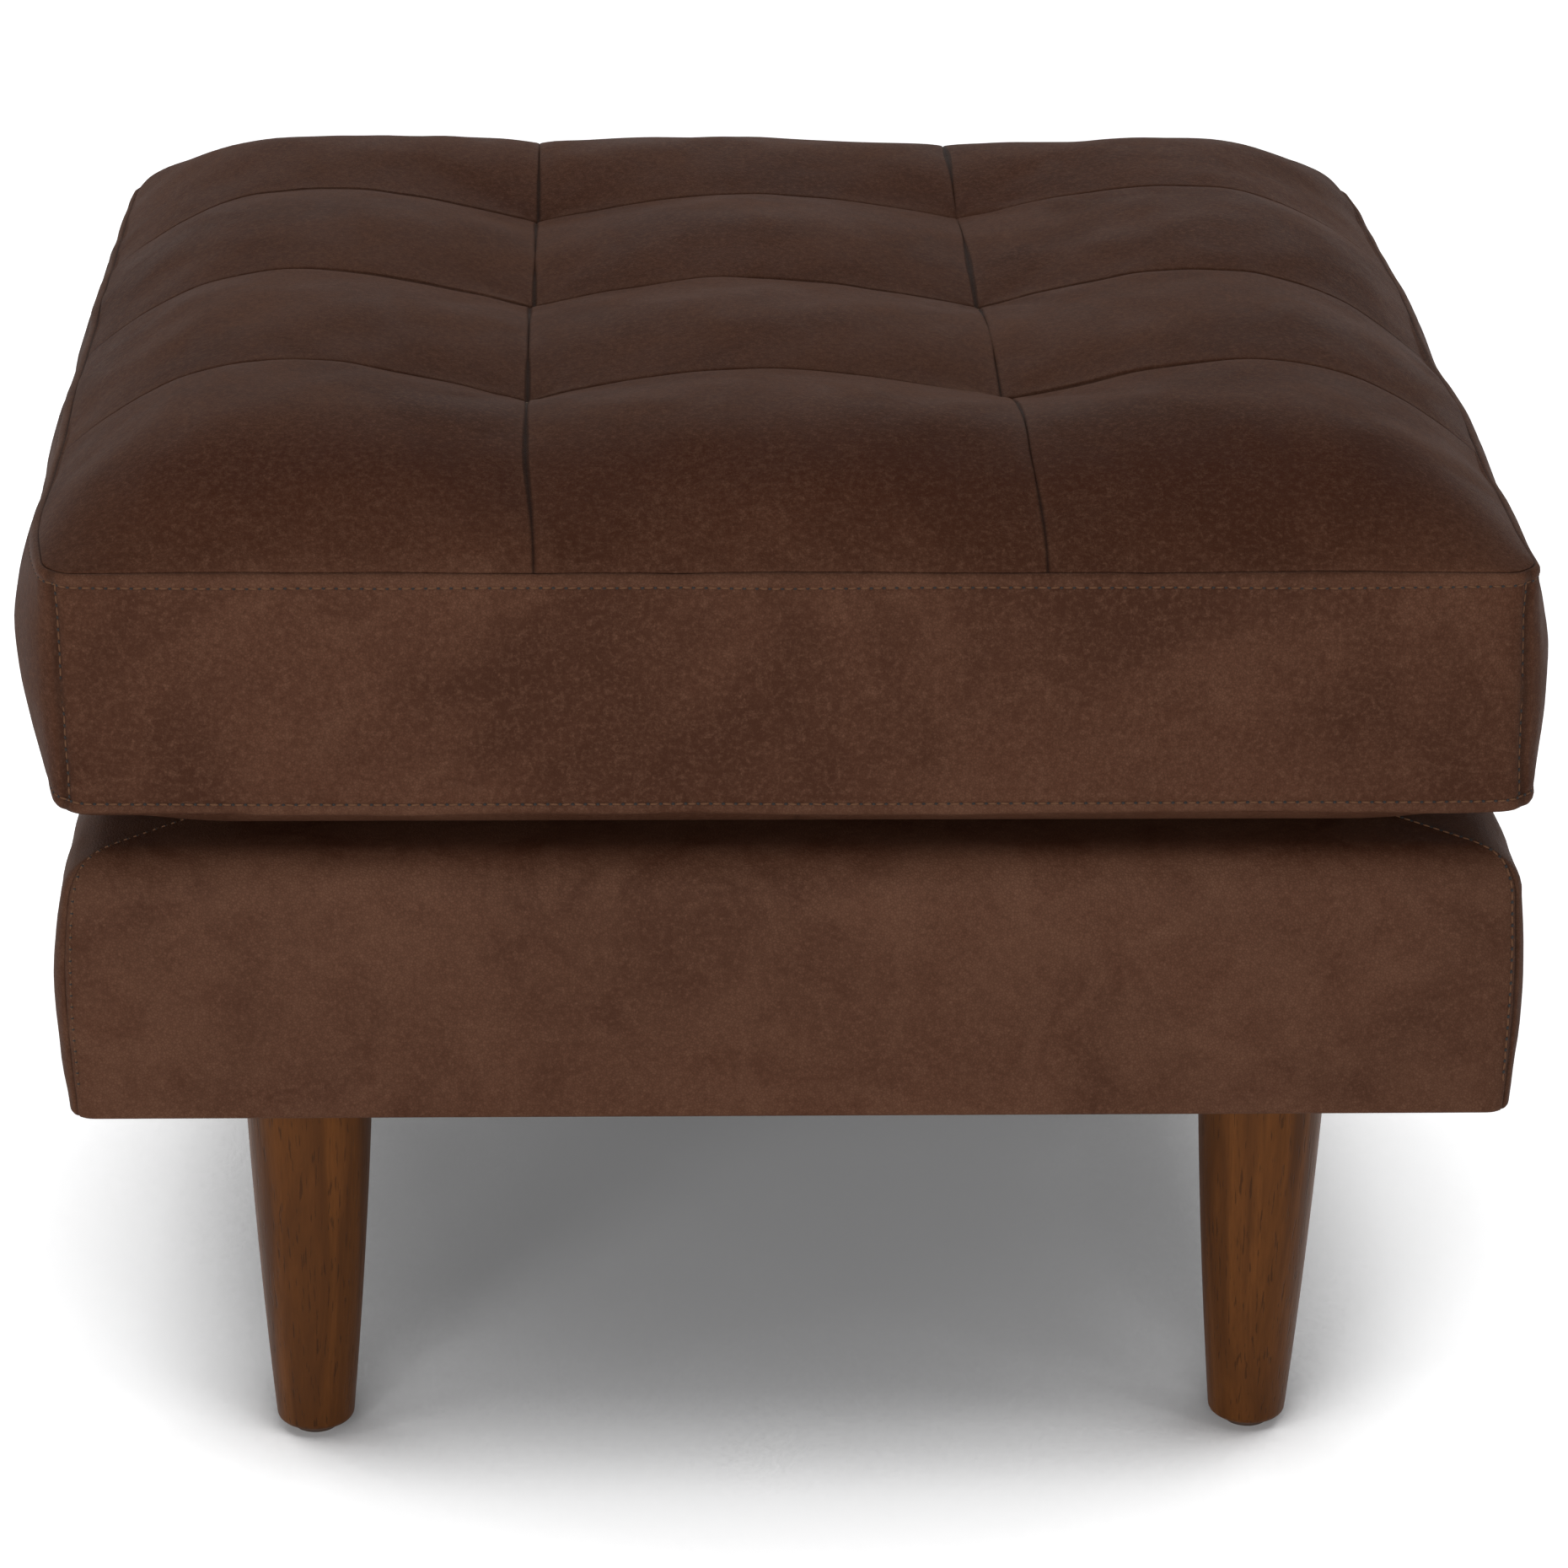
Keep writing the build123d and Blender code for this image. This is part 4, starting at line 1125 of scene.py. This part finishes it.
class OTTOMAN_OT_finishes(bpy.types.Operator):
    """Finishes of all pieces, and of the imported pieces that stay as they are"""

    bl_idname = "ottoman.finishes"
    bl_label = "Finishes"

    def execute(self, context):
        make_finishes(context.scene.ottoman_colours)
        for part in frame["record"]["subparts"]:
            piece = frame["nodes"][part["node"]]
            coat_piece(piece, part["material_slot"])
        return {"FINISHED"}


# Simulation of the filled case; a pull of 1 holds a point fast
SIMULATED_FRAMES = 20
PRESSURE = 4
FREE_PULL, SEAM_PULL = 0.004, 0.12
SEAM_REACH, TUFT_REACH = 0.004, 0.012


def smooth_between(places, known, values):
    """Values at places, on a smooth curve through known values along the first axis."""
    slopes = np.gradient(values, known, axis=0)
    at = np.clip(np.searchsorted(known, places) - 1, 0, len(known) - 2)
    step = (known[at + 1] - known[at]).reshape(-1, 1, 1)
    t = (places - known[at]).reshape(-1, 1, 1) / step
    first = (2 * t**3 - 3 * t**2 + 1) * values[at] + (t**3 - 2 * t**2 + t) * step * slopes[at]
    second = (3 * t**2 - 2 * t**3) * values[at + 1] + (t**3 - t**2) * step * slopes[at + 1]
    return first + second


def even_lines(stops, count):
    """Places through all stops, evenly spaced between each two."""
    parts = [np.linspace(low, high, count)[1:] for low, high in zip(stops, stops[1:])]
    return np.concatenate([stops[:1], *parts])


def simulated_move(case, held):
    """How far a cloth simulation under pressure moves the points of a case, which is then removed."""
    scene, start = bpy.context.scene, points_and_normals(case.data)[0]
    group = case.vertex_groups.new(name="held")
    for value in np.unique(held):
        group.add(np.flatnonzero(held == value).tolist(), float(value), "REPLACE")
    cloth = case.modifiers.new("inflated", "CLOTH")
    settings = cloth.settings
    settings.quality, settings.mass = 6, 0.3
    settings.tension_stiffness = settings.compression_stiffness = 15
    settings.shear_stiffness, settings.bending_stiffness = 8, 0.6
    settings.use_pressure, settings.uniform_pressure_force = True, PRESSURE
    settings.vertex_group_mass, settings.pin_stiffness = "held", 1
    settings.effector_weights.gravity = 0
    cloth.collision_settings.use_collision = False
    cloth.point_cache.frame_start, cloth.point_cache.frame_end = 1, SIMULATED_FRAMES
    for number in range(1, SIMULATED_FRAMES + 1):
        scene.frame_set(number)
    mesh = evaluated_mesh(case)
    moved = points_and_normals(mesh)[0] - start
    case.modifiers.remove(cloth)
    scene.frame_set(1)
    for data in (mesh, case.data):
        bpy.data.meshes.remove(data)
    return moved


def inflated_top(sizes, x_fine, y_fine):
    """How far a cloth simulation of the filled case moves the top, at a fine net of lines."""
    seam = sizes.column_seam
    xs = even_lines([-HALF_WIDTH, -seam, seam, HALF_WIDTH], 26)
    ys = even_lines(ROW_LINES, 19)
    top, to_column, to_row = top_form(sizes, xs, ys)
    bottom = under_form(sizes, *np.meshgrid(xs, ys))
    bottom[..., :2] = top[..., :2]
    ring_drops = np.linspace(0, 1, 12)[1:-1] * BOXING_HEIGHT
    faces, loop, _ = case_faces(top.shape, len(ring_drops))
    edge = top.reshape(-1, 3)[loop]
    rings = [np.column_stack([edge[:, :2], np.full(len(edge), SEAM_TOP - drop)]) for drop in ring_drops]
    points = np.concatenate([top.reshape(-1, 3), *rings, bottom.reshape(-1, 3)])

    free = np.full(to_row.shape, FREE_PULL)
    free[np.minimum(to_column, to_row) < SEAM_REACH] = SEAM_PULL
    for tuft_x, tuft_y in tuft_places(sizes):
        free[np.hypot(top[..., 0] - tuft_x, top[..., 1] - tuft_y) < TUFT_REACH] = 1.0
    free[[0, -1], :] = free[:, [0, -1]] = 1.0
    held = np.ones(len(points))
    held[: free.size] = free.ravel()
    moved = simulated_move(add_mesh("case_in_simulation", points, faces), held)[: free.size].reshape(top.shape)
    size = np.linalg.norm(moved, axis=-1, keepdims=True)
    moved = moved * sizes.simulated_reach * np.tanh(size / sizes.simulated_reach) / (size + 1e-9)
    along = smooth_between(y_fine, ys, moved)
    return smooth_between(x_fine, xs, along.transpose(1, 0, 2)).transpose(1, 0, 2)


class OTTOMAN_OT_cushion(bpy.types.Operator):
    """Tufted leather seat cushion, as one closed form"""

    bl_idname = "ottoman.cushion"
    bl_label = "Seat cushion"

    def execute(self, context):
        sizes = context.scene.ottoman_cushion
        net = cushion_net(sizes)
        count = net["top_count"]
        cushion = add_mesh("seat_cushion", net["points"], net["faces"])
        points = points_and_normals(cushion.data)[0]
        points[:count] += inflated_top(sizes, *plan_lines(sizes)).reshape(-1, 3)
        set_points(cushion.data, points)
        hold = np.zeros(len(net["points"]))
        hold[count:] = 0.25
        hold[-count:] = 1.0
        hold[net["loop"]] = 0.6
        roughen(cushion, sizes.unevenness, hold)
        # Marks for the leather: seams, wear with painted highlight, and painted shade
        add_attributes(cushion, seam=net["seam"], wear=net["wear"], wax=net["wax"])
        covered = [f"top_panels_row{row}" for row in (1, 2, 3, 4)]
        covered += [f"boxing_{side}" for side in ("front", "left", "right", "back_lower", "back_upper")]
        covered += ["underside_left", "underside_right"]
        dress(cushion, "brown_leather", "cushion", *covered)
        return {"FINISHED"}


class OTTOMAN_OT_cushion_stitches(bpy.types.Operator):
    """Stitches along the boxing, its corners and the zip opening"""

    bl_idname = "ottoman.cushion_stitches"
    bl_label = "Cushion stitches"

    def execute(self, context):
        sizes = context.scene.ottoman_cushion
        net = cushion_net(sizes)
        points, normals = points_and_normals(bpy.data.objects["seat_cushion"].data)

        def line(numbers, lift=0.0):
            return points[numbers] + [0, 0, lift], normals[numbers]

        lines = [line(np.append(ring, ring[0])) for ring in net["stitch_rings"]]
        for ring, lift in ((net["zip_rings"][0], sizes.zip_half), (net["zip_rings"][-1], -sizes.zip_half)):
            lines.append(line(ring[net["at_back"]], lift))
        lines += [line(numbers) for numbers in net["corner_lines"]]
        stitch_lines("boxing_stitches", "cushion", lines, context.scene.ottoman_stitches)
        return {"FINISHED"}


class OTTOMAN_OT_filling(bpy.types.Operator):
    """Foam and fibre inside the cushion"""

    bl_idname = "ottoman.filling"
    bl_label = "Cushion filling"

    def execute(self, context):
        sizes = context.scene.ottoman_cushion
        under, step = 0.0034, 3
        foam_low, foam_high = (corner.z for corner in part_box("foam_core"))
        heights = np.linspace(foam_low, foam_high, 12)
        steps = [(under, height, arch((height - SEAM_LOW) / BOXING_HEIGHT) ** HIGH_FULLNESS) for height in heights]
        rings = stack_rings(HALF_WIDTH, HALF_DEPTH, sizes.corner, steps, partial(boxing_bulge, sizes))
        rings[..., 1] = np.minimum(rings[..., 1], TAPES_LOW.y - under)
        foam = add_rings("foam_block", leaned(rings, sizes))
        dress(foam, "seat_foam", "cushion", "foam_core")

        shrink = [1 - under / HALF_WIDTH, 1 - under / HALF_DEPTH, 1]
        top = top_form(sizes, *plan_lines(sizes))[0]
        for axis in (0, 1):
            inner = np.min([np.roll(top[..., 2], k, axis) for k in range(-step, step + 1)], axis=0)
            top[..., 2] = np.where(inner > SEAM_TOP + 0.001, inner, top[..., 2])
        picked = [np.unique([*range(0, count, step), count - 1]) for count in top.shape[:2]]
        top = top[np.ix_(*picked)] * shrink
        top[..., 2] = np.maximum(top[..., 2] - under, foam_high + 0.0003)
        self.layer("upper_fibre_layer", top, foam_high, "fibre_top", sizes)

        x, y = np.meshgrid(*(np.linspace(-half, half, 61) for half in (HALF_WIDTH, HALF_DEPTH)))
        low = under_form(sizes, x, y) * shrink
        low[..., 2] += 0.0024
        self.layer("lower_fibre_layer", low, foam_low, "fibre_under", sizes)
        return {"FINISHED"}

    def layer(self, name, form, height, node, sizes):
        """A fibre layer between a shaped face and a level one."""
        flat = form.copy()
        flat[..., 2] = height
        faces = (form, flat) if form[..., 2].mean() > height else (flat, form)
        points = np.concatenate([face.reshape(-1, 3) for face in faces])
        piece = add_mesh(name, leaned(points, sizes), case_faces(form.shape)[0])
        dress(piece, "white_fibre", "cushion", node)


class OTTOMAN_OT_ties(bpy.types.Operator):
    """Twisted twine from each pulled point down to its anchor"""

    bl_idname = "ottoman.ties"
    bl_label = "Tuft ties"

    def execute(self, context):
        sizes = context.scene.ottoman_cushion
        low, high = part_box("tuft_ties")
        spread = min(sizes.column_seam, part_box("tuft_anchors")[1].x)
        radius, twist_radius, twists, steps, sides = 0.0007, 0.0006, 9, 40, 6
        points, faces = [], []
        for tuft_x, tuft_y in tuft_places(sizes):
            foot = np.array([math.copysign(spread, tuft_x), tuft_y, low.z])
            head = leaned([tuft_x, tuft_y, high.z], sizes)
            for strand in (0, math.pi):
                faces += capped_faces(numbered((steps, sides), len(points)))
                for share in np.linspace(0, 1, steps):
                    angle = 2 * math.pi * twists * share + strand
                    way = np.array([math.cos(angle), math.sin(angle), 0])
                    points += round_ring(foot + (head - foot) * share + twist_radius * way, radius, sides)
        ties = add_mesh("tuft_twines", points, faces)
        dress(ties, "tuft_twine", "cushion", "tuft_ties")
        return {"FINISHED"}


class OTTOMAN_OT_zip(bpy.types.Operator):
    """Zip teeth, and the slider with its pull"""

    bl_idname = "ottoman.zip"
    bl_label = "Zip"

    def execute(self, context):
        middle_y = (CHAIN_LOW.y + CHAIN_HIGH.y) / 2
        half = (CHAIN_HIGH.z - CHAIN_LOW.z) / 2
        radius = (CHAIN_HIGH.y - CHAIN_LOW.y) / 2
        ends = (CHAIN_LOW.x + radius, CHAIN_HIGH.x - radius)
        heights = [ZIP_MIDDLE + side * half * share for side in (-1, 1) for share in (0.22, 0.7)]
        step = 0.0013
        paths = [[(x, middle_y, height) for x in ends] for height in heights]
        teeth = beads("zip_teeth", paths, "zip_coil", step, radius * 1.25, step * 0.8)
        dress(teeth, "zip_coil", "cushion", "zip_chain")

        low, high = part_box("zip_slider")
        plate = 0.0012
        outline = [(0.0, -0.32), (0.12, -0.46), (0.45, -0.5), (0.9, -0.42), (1.0, -0.3)]
        outline += [(x, -y) for x, y in reversed(outline)]
        span_x, span_z = high.x - low.x, high.z - low.z
        shape = [(low.x + x * span_x, ZIP_MIDDLE + z * span_z) for x, z in outline]
        front = CHAIN_HIGH.y + plate + 0.0004
        bridge_x = low.x + span_x * 0.5
        bridge = [(bridge_x - 0.0035, ZIP_MIDDLE - 0.0012), (bridge_x + 0.0035, ZIP_MIDDLE - 0.0012)]
        bridge += [(x, 2 * ZIP_MIDDLE - z) for x, z in reversed(bridge)]
        parts = [(shape, front - plate, front), (shape, low.y, low.y + plate), (bridge, front - 0.0002, high.y)]
        slider = rounded_plates("zip_slider_body", parts, 0.0004)
        dress(slider, "zip_metal", "zip_slider", "zip_slider")

        pull = []
        for share in np.linspace(0, 1, 17)[:-1]:
            angle = 2 * math.pi * share
            drop = 0.0105 + 0.0095 * math.sin(angle)
            width = 0.0028 + 0.0007 * drop / 0.02
            pull.append((bridge_x + width * math.cos(angle), ZIP_MIDDLE + 0.0014 - drop))
        tab = rounded_plates("zip_pull", [(pull, high.y - 0.0011, high.y - 0.0001)], 0.0003)
        dress(tab, "zip_metal", "zip_slider", slot="zip_metal")
        return {"FINISHED"}


class OTTOMAN_OT_base(bpy.types.Operator):
    """Leather upholstery of the base, wrapped over the edge and under the hem"""

    bl_idname = "ottoman.base"
    bl_label = "Base upholstery"

    def execute(self, context):
        sizes = context.scene.ottoman_base
        outer, inner = base_profile(sizes)
        bulge_at, ring_steps = partial(base_bulge, sizes), (FINE_SHARES, FINE_TURNS)
        from_corner = [abs(turn - 45) / 5.2 for turn in FINE_TURNS] + [9.0] * len(FINE_SHARES)
        corner = bell(np.tile(from_corner, 4), 0.8)
        rings = np.concatenate(
            [
                stack_rings(*base_half_sizes(sizes), sizes.corner, steps, bulge_at, dent, 0.0015, ring_steps)
                for steps, dent in ((outer, 0.001 * corner), (inner, 0.0))
            ]
        )
        base = add_rings("base_upholstery", rings, False)
        insets, heights = np.array([step[:2] for step in outer + inner]).T
        # Painted light over the whole base, a painted highlight along its rounded top edge, and wear at the hem
        wear = 0.8 + 0.3 * bell(heights - (BASE_TOP - 0.5 * sizes.edge_radius), 0.011) * (insets < 0.02)
        wear += 0.2 * bell(heights - HEM, 0.004) * (insets < 0.004)
        # Painted shadow of the cushion on the deck's leather border
        wax = 1.6 * np.clip((insets - 0.006) / 0.012, 0, 1) * (heights > BASE_TOP - 0.02)
        hold = np.maximum(bell(heights - HEM, 0.01), heights > BASE_TOP - 0.004)
        hold[len(outer) :] = 1.0
        hold, wear, wax = (np.repeat(values, len(corner)) for values in (hold, wear, wax))
        roughen(base, sizes.unevenness, hold)
        add_attributes(base, seam=np.tile(0.6 * corner, len(rings)), wear=wear, wax=wax)
        covers = [f"base_cover_{side}" for side in ("front", "back", "left", "right")]
        dress(base, "brown_leather", "base", *covers)
        return {"FINISHED"}


class OTTOMAN_OT_base_stitches(bpy.types.Operator):
    """Stitches beside the base's corner seams and along the deck's border"""

    bl_idname = "ottoman.base_stitches"
    bl_label = "Base stitches"

    def execute(self, context):
        outer, inner = base_profile(context.scene.ottoman_base)
        points, normals = points_and_normals(bpy.data.objects["base_upholstery"].data)
        rings = numbered((len(outer) + len(inner), 4 * FINE_SIDE))
        first, border = 8, len(outer) - 3
        middle = FINE_TURNS.index(45)
        lines = [
            rings[first:border, corner * FINE_SIDE + middle + shift] for corner, shift in enumerate((-4, 4, -4, 4))
        ]
        lines.append(np.append(rings[border], rings[border, 0]))
        lines = [(points[line], normals[line]) for line in lines]
        stitch_lines("base_stitches", "base", lines, context.scene.ottoman_stitches)
        return {"FINISHED"}


class OTTOMAN_OT_padding(bpy.types.Operator):
    """Wadding round the rails and the deck's foam pad"""

    bl_idname = "ottoman.padding"
    bl_label = "Base padding"

    def execute(self, context):
        sizes = context.scene.ottoman_base
        halves, bulge_at = base_half_sizes(sizes), partial(base_bulge, sizes)
        under = LEATHER + 0.0004
        low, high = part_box("base_wadding")
        wall = BASE_TOP - sizes.edge_radius - HEM
        heights = np.linspace(low.z, high.z, 9)
        steps = [(under, height, arch(np.clip((height - HEM) / wall, 0, 1))) for height in heights]
        outside = stack_rings(*halves, sizes.corner, steps, bulge_at)
        steps = [(0.0, high.z, 0.0), (0.0, low.z, 0.0)]
        inside = stack_rings(RAIL_HIGH.x, -RAIL_LOW.y, 0.0005, steps, bulge_at, least=0.0005)
        wadding = add_rings("rail_wadding", np.concatenate([outside, inside]), False)
        dress(wadding, "white_fibre", "base", "base_wadding")

        low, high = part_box("deck_foam")
        steps = [(under, low.z, 0.0)]
        radius = sizes.edge_radius - under
        for turn in np.linspace(0, math.pi / 2, 8):
            height = max(low.z + 0.0002, high.z - radius + radius * math.sin(turn))
            steps.append((under + radius * (1 - math.cos(turn)), height, 0.0))
        steps.append((0.1, high.z, 0.0))
        pad = add_rings("deck_pad", stack_rings(*halves, sizes.corner, steps, bulge_at))
        dress(pad, "seat_foam", "base", "deck_foam")
        return {"FINISHED"}


class OTTOMAN_OT_cloths(bpy.types.Operator):
    """Cloth panel of the deck, and the dust cover with its staples"""

    bl_idname = "ottoman.cloths"
    bl_label = "Deck cloth and dust cover"

    def execute(self, context):
        low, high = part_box("deck_cloth")
        deck = thin_sheet("deck_panel", high.x, high.y, low.z, high.z, 0.0004)
        dress(deck, "black_cloth", "base", "deck_cloth")
        low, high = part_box("dust_cover")
        cover = thin_sheet("dust_cloth", high.x, high.y, low.z, high.z, 0.0011, 90)
        dress(cover, "black_cloth", "base", "dust_cover")
        inset = 0.008
        x, y, z = high.x - inset, high.y - inset, low.z - 0.0001
        corners = [(-x, -y, z), (x, -y, z), (x, y, z), (-x, y, z), (-x, -y, z)]
        staples = beads("dust_cover_staples", [corners], "zinc_steel", 0.02, 0.0004, 0.005, 0, 0.06)
        dress(staples, "zinc_steel", "base", slot="zinc_steel")
        return {"FINISHED"}


class OTTOMAN_OT_screws(bpy.types.Operator):
    """Countersunk screws through the rails and into the corner plates"""

    bl_idname = "ottoman.screws"
    bl_label = "Frame screws"

    def execute(self, context):
        plate_low, plate_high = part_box("corner_plate_front_right")
        rail_x, rail_y, rail_z = RAIL_HIGH.x, -RAIL_LOW.y, RAIL_LOW.z
        middle_x = rail_x - (RAIL_HIGH.y - RAIL_LOW.y) / 2
        height = (plate_low.z + plate_high.z) / 2
        rail_places, plate_places = [], []
        for side_x, side_y in CORNERS:
            for rise in (0.032, 0.066):
                rail_places.append(((side_x * middle_x, side_y * rail_y, rail_z + rise), (0, side_y, 0)))
            for inset in (0.042, 0.112):
                near_x, near_y = plate_high.x - inset, -plate_low.y - inset
                plate_places.append(((side_x * near_x, side_y * rail_y, height), (0, side_y, 0)))
                plate_places.append(((side_x * rail_x, side_y * near_y, height), (side_x, 0, 0)))
        group = screw_group()
        for name, places, reach in (("rail_screws", rail_places, 0.055), ("plate_screws", plate_places, 0.044)):
            source = add_mesh(name + "_points", [place for place, _ in places])
            attribute = source.data.attributes.new("direction", "FLOAT_VECTOR", "POINT")
            attribute.data.foreach_set("vector", np.array([way for _, way in places], np.float32).ravel())
            screws = run_group(name, source, group, {"Length": reach, "Material": FINISHES["zinc_steel"]})
            dress(screws, "zinc_steel", "base", slot="zinc_steel")
        return {"FINISHED"}


class OTTOMAN_OT_legs(bpy.types.Operator):
    """Turned wooden legs and their glides"""

    bl_idname = "ottoman.legs"
    bl_label = "Legs and glides"

    def execute(self, context):
        sizes = context.scene.ottoman_legs
        box_low, box_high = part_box("legs")
        low, high, foot = box_low.z, box_high.z, box_low.z + sizes.foot_round
        profile = [(0.004, low)] + rounded_steps(sizes.bottom_radius, low, sizes.foot_round, True)
        for share in np.linspace(0, 1, 26)[1:]:
            radius = sizes.bottom_radius + (sizes.top_radius - sizes.bottom_radius) * share
            profile.append((radius + sizes.swell * arch(share), foot + (high - foot) * share))
        profile.append((0.004, high))
        x, y = box_high.x - sizes.top_radius, box_high.y - sizes.top_radius
        centres = [(side_x * x, side_y * y) for side_x, side_y in CORNERS]
        legs = turned_piece("turned_legs", profile, centres, 72)
        dress(legs, "leg_wood", "base", "legs")
        low, high = (corner.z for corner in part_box("glides"))
        profile = [(0.003, low)] + rounded_steps(sizes.glide_radius, low, sizes.glide_round, True)
        profile += rounded_steps(sizes.glide_radius, high, sizes.glide_round, False) + [(0.003, high)]
        glides = turned_piece("round_glides", profile, centres, 48)
        dress(glides, "glide_plastic", "base", "glides")
        return {"FINISHED"}


OPERATORS = [
    OTTOMAN_OT_stage,
    OTTOMAN_OT_finishes,
    OTTOMAN_OT_cushion,
    OTTOMAN_OT_cushion_stitches,
    OTTOMAN_OT_filling,
    OTTOMAN_OT_ties,
    OTTOMAN_OT_zip,
    OTTOMAN_OT_base,
    OTTOMAN_OT_base_stitches,
    OTTOMAN_OT_padding,
    OTTOMAN_OT_cloths,
    OTTOMAN_OT_screws,
    OTTOMAN_OT_legs,
]


class OTTOMAN_PT_pieces(bpy.types.Panel):
    """The ottoman's pieces in the sidebar"""

    bl_label = "Ottoman"
    bl_space_type = "VIEW_3D"
    bl_region_type = "UI"
    bl_category = "Ottoman"

    def draw(self, context):
        for operator in OPERATORS:
            self.layout.operator(operator.bl_idname)


def register():
    """Registers the settings, the operators and the panel."""
    for name, group in GROUPS.items():
        bpy.utils.register_class(group)
        setattr(bpy.types.Scene, name, PointerProperty(type=group))
    for item in [*OPERATORS, OTTOMAN_PT_pieces]:
        bpy.utils.register_class(item)


def unregister():
    """Takes back what register added."""
    for item in [OTTOMAN_PT_pieces, *reversed(OPERATORS)]:
        bpy.utils.unregister_class(item)
    for name, group in GROUPS.items():
        delattr(bpy.types.Scene, name)
        bpy.utils.unregister_class(group)


def main():
    """Makes every piece in order."""
    register()
    for operator in OPERATORS:
        section, name = operator.bl_idname.split(".")
        getattr(getattr(bpy.ops, section), name)()


if __name__ == "__main__":
    main()
